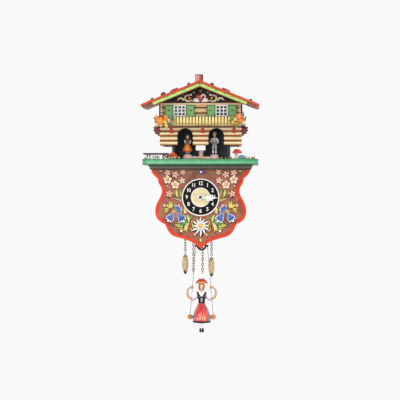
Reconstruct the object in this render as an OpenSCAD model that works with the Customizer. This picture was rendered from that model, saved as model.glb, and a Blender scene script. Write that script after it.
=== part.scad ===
// Wall-hung chalet clock with a weather house, a swinging doll and two chain weights.
// Origin: centre of the hanging hole on the wall plane. +Z is up, and -Y faces the room.

/* [Roof] */
// Width of the roof from eave to eave
roof_w = 130; // [124:1:136]
// Slope of the roof in degrees
roof_pitch = 22; // [20:0.5:24]
// Depth of the roof from the wall to its front edge
roof_d = 80; // [78:1:86]

/* [House] */
// Width over the log walls
house_w = 90; // [88:1:94]
// Width of the dark ground floor
stage_w = 63.6; // [60:0.4:66]
// Distance from the middle of the house to the middle of each doorway
door_x = 17.1; // [16.9:0.1:17.4]
// Half the width of a doorway
door_r = 7.4; // [7.2:0.1:7.6]
// Width of the balcony floor
balcony_w = 98; // [96:1:102]

/* [Landscape board] */
// Width of the landscape board under the house
base_w = 127; // [122:1:132]
// Depth of the landscape board
base_d = 72; // [70:1:76]
// Thickness of the landscape board
base_t = 6.4; // [5:0.2:7]

/* [Shield] */
// Thickness of the front shield
shield_t = 5; // [4:0.5:5]
// Width of the lowered painted rim of the shield
rim_w = 3.6; // [2.5:0.1:4]
// Radius of the dial
dial_r = 20.7; // [19:0.1:21]

/* [Movement] */
// Width and height of the square quartz movement
move_w = 56; // [56:0.5:57]
// Radius of the minute arbor
arbor_r = 1.2; // [1.1:0.05:1.2]

/* [Swing and weights] */
// Depth of the swing's plane behind the room side of the wall plane
swing_y = -25; // [-26:0.5:-25]
// Depth of the chains' plane
chain_y = -41; // [-42:0.5:-41]
// Length of a cone weight
cone_l = 22; // [20:1:25]
// Largest radius of a cone weight
cone_r = 3.25; // [2.5:0.05:3.5]

/* [Hidden] */
$fn = 48;
eps = 0.01;

// Heights of the storeys, from the landscape board up
base_z = -37.6;
stage_top = -22.4;
floor_z = -1.5;
floor_t = 2.6;
upper_z = floor_z + floor_t;
eaves_z = 24.2;

// Depths of the walls: inside face, board face and log crown of the front wall
wall_in = -48;
wall_mid = -51;
log_front_y = -54.5;
back_t = 3;
side_t = 3;
stage_back = -27;

// Roof outline
roof_t = 3;
ridge_z = 49.2;
roof_cos = cos(roof_pitch);
under_z = ridge_z - (roof_t + 0.2) / roof_cos;
function roof_under(x) = under_z - abs(x) * tan(roof_pitch);

// Case behind the shield
shield_z = base_z - base_t - 4.6;
shield_back = -50;
shield_front = shield_back - shield_t;
case_x = 34;
case_t = 4;
case_z = -112;

// Dial and movement
dial_z = -79.5;
move_back = -34.5;
pipe_r = arbor_r + 0.7;
bush_r = 3;
module_motion = 0.4;
module_hour = 0.384;
module_train = 0.32;
idler_a = 150;
third_a = 40;
idler_dist = module_motion * (36 + 12) / 2;
third_dist = module_train * (48 + 8) / 2;
pivot_r = 0.5;
pivot_gap = 0.05;
idler_arbor_r = 0.75;

// Weather arm
arm_y = -41;
arm_r = 14.9;
arm_top = -34.4;
stand_top = -32.2;

// Chains: a link is two half rings joined by two straights
link_wire = 0.35;
link_r = 1.05;
link_h = 0.75;
link_pitch = 2 * (link_h + link_r) - 2 * link_wire - 0.05;
eye_r = 1.3;
eye_wire = 0.4;
eye_z = case_z - 1.6 - eye_r;
hinge_z = eye_z - eye_r;
link_top_z = hinge_z + eye_wire + link_wire + 0.05;
chain_x = [-17.6, -8.5, 1.7, 11.6];
weight_links_left = 9;
weight_links_right = 10;
free_links = 17;

// Swing
axle_z = -117;
axle_r = 1;
magnet_arm = 8;
coil_h = 2.6;
rocker_x = 4.4;
rocker_low = -133.9;
wire_top = [6.6, -135.3];
seat_z = -213.6;
knob_r = 3.1;
wire_low = [12.9, seat_z + knob_r];
wire_r = 0.4;
wire_lean = atan((wire_low[0] - wire_top[0]) / (wire_top[1] - wire_low[1]));
function wire_at(z) = wire_top[0] + (wire_top[1] - z) * tan(wire_lean);
skirt_top = -198.3;
skirt_low = -219.9;
hand_z = -180.4;

// ---- helpers ----

// Extrudes an outline drawn in X and Z between two depths
module slab(front, back) {
    translate([0, back, 0]) rotate([90, 0, 0]) linear_extrude(back - front) children();
}

// A cylinder or cone along Y between two depths
module rod_y(r, front, back, r2 = undef) {
    translate([0, back, 0]) rotate([90, 0, 0])
        cylinder(h = back - front, r1 = is_undef(r2) ? r : r2, r2 = r);
}

// A cylinder along X between two places
module rod_x(r, from, to) {
    translate([from, 0, 0]) rotate([0, 90, 0]) cylinder(h = to - from, r = r);
}

// A block given by its two corners
module block(low, high) {
    translate(low) cube(high - low);
}

// Both halves of a left and right pair
module pair() {
    children();
    mirror([1, 0, 0]) children();
}

function bezier(a, b, c, d, steps) = [for (i = [1 : steps]) let (t = i / steps, u = 1 - t)
    u * u * u * a + 3 * u * u * t * b + 3 * u * t * t * c + t * t * t * d];

// ---- landscape board and case ----

module base_board() {
    corner = 7;
    color("mediumseagreen") difference() {
        union() {
            block([-base_w / 2, -base_d + corner, base_z - base_t], [base_w / 2, 0, base_z]);
            block([-base_w / 2 + corner, -base_d, base_z - base_t],
                [base_w / 2 - corner, -base_d + corner, base_z]);
            pair() translate([base_w / 2 - corner, -base_d + corner, base_z - base_t])
                cylinder(h = base_t, r = corner);
        }
        translate([0, arm_y, base_z - 3]) cylinder(h = 3 + eps, r = 0.8);
    }
}

module base_moulding() {
    top = base_z - base_t;
    color("#3b2f22") {
        block([-57.2, -62, top - 1.8], [57.2, 0, top]);
        block([-56, -59.5, top - 4.6], [56, 0, top - 1.8]);
    }
}

// Two side boards and the bottom board between them
module case_boards() {
    color("saddlebrown") {
        pair() block([case_x - case_t, shield_back, case_z], [case_x, 0, shield_z]);
        block([case_t - case_x, shield_back, case_z], [case_x - case_t, 0, case_z + case_t]);
    }
}

// Right half of the shield's outline, from the top corner down to the tip
half_shield = concat([[54.9, shield_z]],
    bezier([54.9, shield_z], [54.4, -52], [51.8, -55.8], [48, -58.3], 6),
    bezier([48, -58.3], [46.9, -59.4], [47.2, -61.6], [46.6, -63.6], 4),
    bezier([46.6, -63.6], [44.9, -66.2], [42.7, -69.3], [42.7, -72.6], 6),
    bezier([42.7, -72.6], [42.7, -79.2], [50.2, -85.3], [50.2, -94.9], 9),
    bezier([50.2, -94.9], [50.2, -102.9], [45.7, -106.7], [39.8, -108.8], 7),
    bezier([39.8, -108.8], [37.3, -111.3], [36.9, -120.9], [26.5, -123.4], 8),
    bezier([26.5, -123.4], [16, -126.1], [8.3, -127.8], [0, -136.4], 8));

module shield_outline() {
    left = [for (i = [len(half_shield) - 2 : -1 : 0]) [-half_shield[i][0], half_shield[i][1]]];
    polygon(concat(half_shield, left));
}

// The field inside the rim, which runs up to the shield's top edge
module shield_field() {
    intersection() {
        shield_outline();
        offset(delta = -rim_w) union() {
            shield_outline();
            translate([-54.9, shield_z - 1]) square([109.8, 10]);
        }
    }
}

module shield() {
    color("sienna") difference() {
        union() {
            slab(shield_front + 1.4, shield_back) shield_outline();
            slab(shield_front, shield_front + 1.4) shield_field();
        }
        translate([0, 0, dial_z]) rod_y(bush_r + 0.1, shield_front - 1, shield_back + 1);
    }
}

// ---- the house ----

// Side walls, inner back panel and ceiling of the dark ground floor
module stage_box() {
    half = stage_w / 2;
    color("darkslategray") {
        block([side_t - half, stage_back, base_z], [half - side_t, stage_back + 3, floor_z]);
        pair() block([half - side_t, wall_in, base_z], [half, -back_t, floor_z]);
        block([side_t - house_w / 2, wall_in, floor_z],
            [house_w / 2 - side_t, -back_t, upper_z]);
    }
}

// Horizontal half logs laid one above the other on a board
module logs(low, high, count, from, to, face) {
    pitch = (high - low) / count;
    for (i = [0 : count - 1]) translate([0, face, low + (i + 0.5) * pitch])
        rod_x(pitch * 0.56, from, to);
}

module doorway(grow = 0) {
    r = door_r + grow;
    top = -4.5 - door_r;
    translate([door_x, top]) circle(r);
    translate([door_x - r, stage_top - 1]) square([2 * r, top - stage_top + 1]);
}

module log_front() {
    half = house_w / 2;
    color("burlywood") difference() {
        intersection() {
            union() {
                block([-half, wall_mid, stage_top], [half, wall_in, floor_z]);
                logs(stage_top, floor_z, 4, -half, half, wall_mid - 0.55);
            }
            block([-half, log_front_y, stage_top], [half, wall_in, floor_z]);
        }
        pair() slab(log_front_y - 1, wall_in + 1) doorway();
    }
}

module log_side_walls() {
    half = house_w / 2;
    color("peru") pair() {
        difference() {
            union() {
                block([half - side_t, wall_in, stage_top], [half - 1, 0, eaves_z]);
                for (i = [0 : 8]) translate([half - 2.4, 0, stage_top + 2.6 + 5.18 * i])
                    rod_y(2.4, wall_in, 0);
            }
            block([half - 6, wall_in - 1, stage_top - 1], [half - side_t, 1, eaves_z + 1]);
        }
    }
}

window_x = 23.1;
window_w = 14.2;
window_low = 9.6;
window_high = 22;

module upper_front() {
    half = house_w / 2;
    color("burlywood") difference() {
        union() {
            block([-half, wall_mid, upper_z], [half, wall_in, eaves_z]);
            logs(upper_z, window_high, 7, -half, half, wall_mid - 0.4);
            block([-half, log_front_y, window_high], [half, wall_mid, eaves_z]);
        }
        block([-half - 1, wall_mid - 5, upper_z - 5], [half + 1, wall_mid + 1, upper_z]);
        pair() block([window_x - window_w / 2, -60, window_low],
            [window_x + window_w / 2, wall_in + 1, window_high]);
    }
}

// White three by three window frames, each with a dark pane behind it
module windows() {
    pane = 2.7;
    pitch_x = (window_w - 1.8) / 3;
    pitch_z = (window_high - window_low - 1.4) / 3;
    mid = (window_low + window_high) / 2;
    pair() {
        color("white") slab(-54.2, -52.4) difference() {
            translate([window_x - window_w / 2, window_low])
                square([window_w, window_high - window_low]);
            for (i = [-1 : 1], j = [-1 : 1])
                translate([window_x + i * pitch_x - pane / 2, mid + j * pitch_z - pane / 2])
                    square(pane);
        }
        color("black") block([window_x - window_w / 2, -52.4, window_low],
            [window_x + window_w / 2, -51.4, window_high]);
    }
}

module shutters() {
    w = 9.2;
    low = 8.8;
    for (x = [-window_x, window_x], side = [-1, 1])
        translate([x + side * (window_w + w + 0.2) / 2, 0, 0])
            color("limegreen") difference() {
                block([-w / 2, -56, low], [w / 2, -54.5, window_high]);
                block([1 - w / 2, -57, low + 1], [w / 2 - 1, -55.6, window_high - 1]);
            }
}

module gable_panel() {
    half = house_w / 2;
    color("#2a2a2c") slab(-54, wall_in) polygon([[-half, eaves_z], [half, eaves_z],
        [half, roof_under(half)], [0, roof_under(0)], [-half, roof_under(half)]]);
}

module house_back() {
    half = house_w / 2 - side_t;
    low = stage_w / 2;
    color("tan") difference() {
        slab(-back_t, 0) polygon([[-low, base_z], [low, base_z], [low, stage_top],
            [half, stage_top], [half, roof_under(half)], [0, roof_under(0)],
            [-half, roof_under(half)], [-half, stage_top], [-low, stage_top]]);
        rod_y(3, -10, 10);
    }
}

// ---- balcony ----

rail_front = -67;
balcony_front = -68;
picket_pitch = 3.5;

// Balcony floor with its scalloped edge and a carved corbel under each end
module balcony_floor() {
    half = balcony_w / 2;
    wall = house_w / 2;
    edge = balcony_front - 1.2;
    low = floor_z + 1;
    color("peru") {
        block([-half, balcony_front, floor_z], [half, wall_in, upper_z]);
        block([-half, edge, low], [half, balcony_front, upper_z]);
        for (i = [-13 : 13]) translate([i * picket_pitch, 0, low])
            rod_y(1.6, edge, balcony_front);
    }
    color("maroon") pair() slab(-53, -49) polygon([[wall, floor_z], [wall + 4.2, floor_z],
        [wall + 4.4, floor_z - 1.6], [wall + 2.4, floor_z - 3.6], [wall + 2.2, floor_z - 5.6],
        [wall, floor_z - 9.2]]);
}

// Pickets moulded on a backing strip whose ends return to the wall
module balcony_rail() {
    half = 47;
    top = upper_z + 8;
    color("khaki") {
        block([-half, rail_front, upper_z], [half, rail_front + 1, top]);
        pair() block([half - 1.2, rail_front + 1, upper_z], [half, log_front_y - 1.6, top]);
        for (i = [-13 : 13]) translate([i * picket_pitch, 0, 0])
            block([-1, balcony_front, upper_z], [1, rail_front, upper_z + 7.4]);
    }
}

// Flower clusters on the rail's corners, stalked to its pickets, and three blooms that hang from its edge
module balcony_flowers() {
    back = balcony_front - 1.2;
    front = back - 3.4;
    color("orange") for (p = [[-45, 7], [-41.5, 3.5], [-38, 7.5], [-34.5, 3.2], [-31, 6.5],
            [-28, 2.8], [-45.4, 2.8], [39, 6.5], [42.5, 8], [46, 5.5], [40.5, 3], [45.4, 2.8]])
        translate([p[0], 0, p[1]]) {
            rod_y(3, front, back);
            rod_y(1.4, back, balcony_front);
        }
    color("firebrick") for (x = [-31.4, 3, 37.2]) translate([x, 0, 0]) {
        translate([0, back - 2, -9.8]) cylinder(h = 7, r1 = 2, r2 = 1.4);
        block([-0.5, back - 2.5, -3.2], [0.5, back, 0.4]);
    }
}

// ---- roof ----

// One roof board: five overlapping courses of shingles
module roof_board() {
    courses = 5;
    long = roof_w / 2 / roof_cos;
    step = long / courses;
    top = concat([for (i = [0 : courses - 1]) each [[i * step, 2.2 - roof_t + 0.2],
        [(i + 1) * step, 0]]]);
    color("tomato") slab(-roof_d, 0) translate([0, ridge_z]) rotate(-roof_pitch)
        difference() {
            polygon(concat([[0, -roof_t]], top, [[long, -roof_t]]));
            rotate(roof_pitch) translate([-10, -10]) square([10, 20]);
        }
}

module roof_left() {
    mirror([1, 0, 0]) roof_board();
}

module roof_right() {
    roof_board();
}

// A point at a distance across the slope, below the underside of the roof
function below_roof(x, drop) = [x, roof_under(x) - 0.1 - drop];

// Dark fascia under each roof edge, cut back at its foot
module fascias() {
    end = roof_w / 2 - 0.6;
    drop = 5.2;
    color("saddlebrown") pair() slab(-77, -74.5) polygon([below_roof(0.1, 0),
        below_roof(end, 0), below_roof(end - 4.4, drop), below_roof(0.1, drop)]);
}

// Shorter lime board on the face of each fascia
module bargeboards() {
    end = 52;
    color("greenyellow") pair() slab(-79.4, -77) polygon([below_roof(0.7, 0.2),
        below_roof(end, 0.2), below_roof(end - 0.8, 3.9), below_roof(0.7, 3.9)]);
}

module chimney() {
    half = 4.3;
    high = ridge_z + 7.4;
    color("tomato") difference() {
        union() {
            block([-half - 2, -46, ridge_z - 4], [half - 2, -38, high]);
            for (x = [-6.3 + 1.4, -2, 0.9]) translate([x, -46, ridge_z - 4])
                cylinder(h = high - ridge_z + 4, r = 1.3);
        }
        slab(-60, -20) polygon([[-30, ridge_z - 30 * tan(roof_pitch)], [0, ridge_z],
            [30, ridge_z - 30 * tan(roof_pitch)], [30, 0], [-30, 0]]);
        translate([-2, -41.8, high - 2]) cylinder(h = 3, r = 2);
    }
}

// Pebbles and two battens that weigh the shingles down
module roof_stones() {
    function on_roof(x) = ridge_z - abs(x) * tan(roof_pitch);
    color("gray") for (p = [[-52, -72, 1.6], [-40, -67, 2.8], [-12, -70, 1.8], [13, -70, 2],
            [55, -66, 1.7], [-44, -30, 2], [-22, -24, 1.9], [24, -30, 2.1], [46, -22, 2]])
        translate([p[0], p[1], on_roof(p[0]) + p[2] * 0.95 + 0.2]) difference() {
            sphere(p[2]);
            translate([0, 0, -p[2] * 1.75]) cube(2 * p[2], center = true);
        }
    color("brown") for (side = [-1, 1], y = [-73, -34]) translate([side * 28, y, on_roof(28) + 1.4])
        rotate([0, side * roof_pitch, 0]) cube([9, 2, 1.6], center = true);
}

// ---- garden on the landscape board ----

module fence() {
    y = -65;
    rail = -32.4;
    color("#3a1c14") {
        block([-62.5, y - 0.8, rail], [-34.5, y + 0.8, rail + 1.4]);
        for (x = [-58, -55.2, -40.7, -36]) block([x - 0.8, y - 0.7, base_z],
            [x + 0.8, y + 0.7, rail]);
    }
}

// A toadstool, two bushes and a low tuft
module garden_plants() {
    color("white") translate([40, -61, base_z]) cylinder(h = 6.4, r1 = 1.9, r2 = 1.3);
    color("crimson") translate([40, -61, base_z + 6.4]) difference() {
        translate([0, 0, -0.4]) scale(1) sphere(5.2);
        translate([0, 0, -10]) cube(20, center = true);
    }
    color("teal") translate([47, -64.5, base_z]) difference() {
        sphere(4.6);
        translate([0, 0, -5]) cube(10, center = true);
    }
    color("orangered") translate([-30, -63.5, base_z]) difference() {
        translate([0, 0, 1.6]) sphere(4.4);
        translate([0, 0, -5]) cube(10, center = true);
    }
    color("gold") translate([55, -62, base_z]) cylinder(h = 2.6, r1 = 3, r2 = 1.6);
}

module door_sign() {
    color("white") block([-5.3, -54.2, stage_top - 5.6], [5.3, -53.2, stage_top]);
}

// ---- weather house ----

// Beam with a round stand at each end and the hub post, bored for its pivot pin
module weather_arm() {
    low = base_z + 0.8;
    color("pink") translate([0, arm_y, 0]) difference() {
        union() {
            block([-arm_r, -1.7, low], [arm_r, 1.7, arm_top]);
            pair() translate([arm_r, 0, low]) cylinder(h = stand_top - low, r1 = 5.2, r2 = 4.4);
            translate([0, 0, low]) cylinder(h = -24 - low, r1 = 2.2, r2 = 2.7);
        }
        translate([0, 0, low - 1]) cylinder(h = 4, r = 0.85);
    }
}

module gut_cord() {
    color("wheat") translate([0, arm_y, -24]) cylinder(h = 18.8, r = 0.4);
}

// Pivot pin in the board below, and the screw that holds the gut cord above
module arm_pivots() {
    color("gold") translate([0, arm_y, 0]) {
        translate([0, 0, base_z - 3]) cylinder(h = 5.6, r = 0.8);
        translate([0, 0, -5.1]) cylinder(h = 3.6, r1 = 1.2, r2 = 1.8);
    }
}

module woman_figure() {
    color("orangered") translate([-arm_r, arm_y, stand_top]) {
        pair() translate([1.3, 0, 0]) cylinder(h = 3.1, r = 0.9);
        translate([0, 0, 2.8]) cylinder(h = 9.4, r1 = 5.1, r2 = 2.5);
        translate([0, 0, 12]) cylinder(h = 5.2, r1 = 2.3, r2 = 2.6);
        pair() translate([2.5, 0, 15]) sphere(1.6);
        translate([0, 0, 19.2]) sphere(2.4);
        translate([0, 0, 20.4]) cylinder(h = 1.5, r1 = 2.9, r2 = 1.4);
    }
}

module man_figure() {
    color("dimgray") translate([arm_r, arm_y, stand_top]) {
        pair() translate([1.6, 0, 0]) cylinder(h = 8.4, r = 1.1);
        translate([0, 0, 7.8]) cylinder(h = 5.8, r1 = 3.5, r2 = 2.5);
        translate([0, 0, 13.4]) cylinder(h = 7.2, r1 = 2.4, r2 = 2.5);
        pair() translate([2.6, 0, 17]) sphere(1.8);
        translate([0, 0, 22.4]) sphere(2.5);
        translate([0, 0, 23.8]) cylinder(h = 1.6, r1 = 3.3, r2 = 1.9);
    }
}

// ---- dial and hands ----

module dial_plate() {
    color("black") translate([0, shield_front, dial_z]) rotate([90, 0, 0]) rotate_extrude()
        polygon([[bush_r + 0.1, 0], [dial_r, 0], [dial_r, 2.6], [dial_r - 0.4, 3],
            [dial_r - 1.1, 3], [dial_r - 1.4, 2], [10.5, 2], [10.3, 2.6], [bush_r + 0.1, 2.6]]);
}

module bush_nut() {
    color("gold") translate([0, 0, dial_z]) difference() {
        rod_y(4.4, shield_front - 4, shield_front - 2.6, 4.8);
        rod_y(bush_r + 0.02, -70, -50);
    }
}

// A pierced hand that points up: stem, leaf with two barbs, and a tip
module hand_outline(long, leaf, wing) {
    half = [[0.55, 0], [0.6, leaf - 3.4], [wing * 0.45, leaf - 2.6], [wing, leaf - 2.9],
        [wing * 0.8, leaf - 1.2], [wing * 0.95, leaf + 0.6], [wing * 0.4, leaf + 0.5],
        [0.75, leaf + 2], [0.55, leaf + 2.6], [0.15, long]];
    polygon(concat(half, [for (i = [len(half) - 1 : -1 : 0]) [-half[i][0], half[i][1]]]));
}

module hand(long, leaf, wing, beads, hub, bore, turn, front, back) {
    translate([0, 0, dial_z]) rotate([0, turn, 0]) difference() {
        union() {
            slab(front, back) hand_outline(long, leaf, wing);
            rod_y(hub, front, back);
            for (z = beads) translate([0, 0, z]) rod_y(1.45, front, back);
        }
        rod_y(bore, front - 1, back + 1);
        for (z = beads) translate([0, 0, z]) rod_y(0.6, front - 1, back + 1);
        pair() translate([wing * 0.45, 0, leaf - 0.9]) rod_y(0.6, front - 1, back + 1);
    }
}

// Both hands rest at a quarter past three
module hour_hand() {
    color("ivory") hand(13.4, 9.8, 3.4, [4.9], 2.9, pipe_r + 0.01, 97.6, -62.3, -61.4);
}

module minute_hand() {
    color("ivory") hand(19.4, 13, 3.6, [4.6, 8], 2.5, arbor_r + 0.01, 92, -64.3, -63.4);
}

module hand_nut() {
    color("gold") translate([0, 0, dial_z]) rod_y(1.1, -66.2, -64.6, 1.7);
}

// ---- movement ----

// Spur gear with an involute flank of 25 degrees and short teeth. phase turns a tooth to that angle.
function involute(base, r) = let (a = sqrt(max(0, pow(r / base, 2) - 1))) a * 180 / PI - atan(a);

module gear(teeth, m, phase) {
    pitch = m * teeth / 2;
    base = pitch * cos(25);
    tip = pitch + 0.7 * m;
    root = pitch - m;
    half = 90 / teeth - 0.07 * 180 / PI / pitch * m;
    low = max(root, base);
    radii = [root, low, low + (tip - low) * 0.5, tip];
    flank = [for (r = radii) [r, half + involute(base, pitch) - involute(base, max(r, base))]];
    polygon([for (i = [0 : teeth - 1]) let (at = phase + i * 360 / teeth) each concat(
        [for (p = flank) [p[0] * cos(at - p[1]), p[0] * sin(at - p[1])]],
        [for (j = [len(flank) - 1 : -1 : 0]) let (p = flank[j])
            [p[0] * cos(at + p[1]), p[0] * sin(at + p[1])]])]);
}

// Angle at which a gear has a gap facing a mate that lies at the angle to_mate
function gap_phase(teeth, to_mate) = to_mate + 180 / teeth;

module at_axis(distance, angle) {
    translate([distance * cos(angle), 0, dial_z + distance * sin(angle)]) children();
}

module movement_case() {
    half = move_w / 2;
    low = dial_z - half;
    wall = 1.2;
    color("#303236") difference() {
        union() {
            block([-half, shield_back, low], [half, move_back, dial_z + half]);
            translate([0, 0, dial_z]) rod_y(bush_r, shield_front - 4.6, shield_back);
        }
        block([wall - half, shield_back + 1.5, -90.4], [half - wall, 0, dial_z + half - wall]);
        block([wall - half, shield_back + 1.5, low + wall], [half - wall, 0, -91.6]);
        translate([0, 0, dial_z]) rod_y(pipe_r + pivot_gap, -80, -40);
        at_axis(third_dist, third_a) rod_y(pivot_r + pivot_gap, shield_back + 0.5, -40);
        at_axis(idler_dist, idler_a) rod_y(pivot_r + pivot_gap, shield_back + 0.5, -40);
    }
}

// Back plate over the wheels, with a bearing boss for each arbor
module movement_cover() {
    half = move_w / 2;
    face = move_back + 1.5;
    color("#3c3f44") difference() {
        union() {
            block([-half, move_back, -91], [half, face, dial_z + half]);
            translate([0, 0, dial_z]) rod_y(1.8, -39, move_back);
            at_axis(third_dist, third_a) rod_y(1.6, -39, move_back);
        }
        translate([0, 0, dial_z]) rod_y(0.6 + pivot_gap, -45, move_back);
        at_axis(third_dist, third_a) rod_y(pivot_r + pivot_gap, -45, move_back);
        at_axis(idler_dist, idler_a) rod_y(idler_arbor_r + pivot_gap, -45, 0);
    }
}

module battery() {
    color("silver") translate([0, -41, -99]) {
        rod_x(7.1, -24.2, 24.2);
        rod_x(2.7, 24.1, 25.4);
    }
}

// Circuit board with the stepping motor's coil, its stator and the battery contacts
module circuit_board() {
    color("seagreen") block([-26, -39, -89.8], [26, -38, -85]);
    color("peru") translate([0, -43.6, -87.4]) rod_x(2.6, 10.5, 25);
    color("silver") {
        block([8.6, -46, -90], [10.2, -41, -85]);
        pair() block([26, -46, -103], [26.6, -36, -95]);
    }
}

// Hour wheel and its pipe, which carries the hour hand
module hour_wheel() {
    color("gold") translate([0, 0, dial_z]) difference() {
        union() {
            slab(-47.9, -46.9) gear(40, module_hour, idler_a);
            rod_y(pipe_r, -62.5, -46.9);
        }
        rod_y(arbor_r + pivot_gap, -70, -40);
    }
}

// Minute arbor with the cannon pinion and the centre wheel
module centre_wheel() {
    color("gold") translate([0, 0, dial_z]) {
        rod_y(arbor_r, -64.6, -39.4);
        rod_y(0.6, -39.5, -37);
        slab(-46.4, -45) gear(12, module_motion, idler_a);
        slab(-44.4, -43.4) gear(48, module_train, third_a);
    }
}

// Minute wheel and its pinion on the arbor of the setting knob
module idler_wheel() {
    knob = -27;
    color("white") at_axis(idler_dist, idler_a) {
        slab(-48.1, -46.7) gear(10, module_hour, gap_phase(10, idler_a + 180));
        slab(-46.7, -45.2) gear(36, module_motion, gap_phase(36, idler_a + 180));
        rod_y(pivot_r, shield_back + 0.7, -48);
        rod_y(idler_arbor_r, -45.3, knob - 1);
        rod_y(5.4, knob - 5, knob);
    }
}

module third_wheel() {
    color("white") at_axis(third_dist, third_a) {
        slab(-44.6, -43) gear(8, module_train, gap_phase(8, third_a + 180));
        slab(-43, -42) gear(40, module_train, 0);
        rod_y(pivot_r, shield_back + 0.7, -37);
    }
}

// ---- chains and weights ----

// One oval link in the XZ plane
module link() {
    for (side = [0, 180]) rotate([0, side, 0]) translate([0, 0, link_h]) rotate([90, 0, 0])
        rotate_extrude(angle = 180) translate([link_r, 0]) circle(link_wire, $fn = 16);
    for (x = [-link_r, link_r]) translate([x, 0, -link_h])
        cylinder(h = 2 * link_h, r = link_wire, $fn = 16);
}

module chain(x, count) {
    color("gold") for (i = [0 : count - 1])
        translate([x, chain_y, link_top_z - link_h - link_r - i * link_pitch])
            rotate([0, 0, i % 2 == 0 ? 90 : 0]) link();
}

module screw_eyes() {
    color("gold") for (x = chain_x) translate([x, chain_y, 0]) {
        translate([0, 0, eye_z]) rotate([90, 0, 0]) rotate_extrude()
            translate([eye_r, 0]) circle(eye_wire, $fn = 16);
        translate([0, 0, eye_z + eye_r]) cylinder(h = case_z - eye_z - eye_r, r = eye_wire);
    }
}

// A fir cone weight that hangs from the last of a number of links
module cone_weight(x, links) {
    ring = 0.9;
    wire = 0.3;
    last = link_top_z - (links - 1) * link_pitch - 2 * (link_h + link_r);
    ring_z = last + link_wire + wire + 0.05 - ring;
    top = ring_z - ring - 0.6;
    color("goldenrod") translate([x, chain_y, 0]) {
        translate([0, 0, ring_z]) rotate([90, 0, links % 2 == 0 ? 90 : 0]) rotate_extrude()
            translate([ring, 0]) circle(wire, $fn = 16);
        translate([0, 0, top - 0.1]) cylinder(h = 0.8, r = 0.5);
        translate([0, 0, top]) rotate_extrude() polygon([[0, 0], [1.2, -0.2],
            [cone_r * 0.84, -cone_l * 0.09], [cone_r, -cone_l * 0.3],
            [cone_r * 0.96, -cone_l * 0.55], [cone_r * 0.68, -cone_l * 0.78],
            [0.6, -cone_l], [0, -cone_l]]);
    }
}

// ---- swing ----

module swing_bracket() {
    color("dimgray") translate([0, swing_y, 0]) {
        pair() difference() {
            block([7.4, -2.4, axle_z - 2.4], [8.6, 2.4, case_z]);
            translate([0, 0, axle_z]) rod_x(axle_r, 0, 20);
        }
        translate([0, 0, axle_z]) rod_x(axle_r, -9.4, 9.4);
    }
}

// Coil under the case, over the rear magnet
module drive_coil() {
    color("chocolate") translate([0, swing_y + magnet_arm, case_z - coil_h]) difference() {
        cylinder(h = coil_h, r = 3.6);
        translate([0, 0, -1]) cylinder(h = coil_h, r = 1);
    }
}

// Black yoke: a hub on the axle, two arms joined by a half ring, and a lug for each wire
module swing_rocker() {
    color("black") translate([0, swing_y, 0]) difference() {
        union() {
            translate([0, 0, axle_z]) rod_x(2.1, -6.6, 6.6);
            pair() translate([rocker_x, 0, rocker_low]) cylinder(h = axle_z - rocker_low, r = 1.1);
            translate([0, 0, rocker_low]) rotate([-90, 0, 0]) rotate_extrude(angle = 180)
                translate([rocker_x, 0]) circle(1.1);
            pair() translate([0, 0, wire_top[1] + 1.2]) rod_x(1.1, rocker_x, 7.7);
            block([-1.5, -magnet_arm - 2, axle_z - 4], [1.5, magnet_arm + 2, axle_z - 2]);
            block([-1.5, -1, axle_z - 4], [1.5, 1, axle_z]);
        }
        translate([0, 0, axle_z]) rod_x(axle_r + 0.05, -10, 10);
    }
}

// Drive magnet behind the axle, and its twin in front that keeps the swing level
module swing_magnets() {
    color("silver") for (side = [-1, 1])
        translate([0, swing_y + side * magnet_arm, axle_z - 2]) cylinder(h = 1.6, r = 2.4);
}

module swing_wires() {
    long = (wire_top[1] - wire_low[1]) / cos(wire_lean);
    color("whitesmoke") pair() translate([wire_low[0], swing_y, wire_low[1]])
        rotate([0, -wire_lean, 0]) cylinder(h = long, r = wire_r);
}

module swing_seat() {
    color("burlywood") translate([0, swing_y, seat_z]) {
        rod_x(1.5, -wire_low[0], wire_low[0]);
        pair() translate([wire_low[0], 0, 0]) sphere(knob_r);
    }
}

// ---- doll ----

module doll_skirt() {
    color("orangered") translate([0, swing_y, 0]) difference() {
        translate([0, 0, skirt_low]) rotate_extrude() polygon(concat([[0, 0], [9.6, 0]],
            bezier([9.6, 0], [9.4, 8], [7, 15], [3.6, skirt_top - skirt_low], 6),
            [[0, skirt_top - skirt_low]]));
        translate([0, 0, seat_z]) rod_x(1.5, -20, 20);
    }
}

module doll_body() {
    color("black") translate([0, swing_y, skirt_top]) {
        cylinder(h = 4, r = 3.5);
        translate([0, 0, 4]) cylinder(h = 3.5, r1 = 3.5, r2 = 4.4);
        translate([0, 0, 7.5]) cylinder(h = 4.5, r = 4.4);
        translate([0, 0, 12]) cylinder(h = 1.4, r1 = 4.4, r2 = 2.6);
        translate([0, 0, 13.4]) cylinder(h = 1, r = 1.5);
    }
}

// Long head under a broad hat with a sloping crown
module doll_head() {
    color("peachpuff") translate([0, swing_y, skirt_top + 14.4]) {
        translate([0, 0, 3.4]) sphere(3.4);
        translate([0, 0, 3.4]) cylinder(h = 4.8, r = 3.2);
        translate([0, 0, 7.6]) cylinder(h = 1.2, r = 7.4);
        translate([0, 0, 8.8]) cylinder(h = 4.5, r1 = 6, r2 = 2.8);
    }
}

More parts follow.
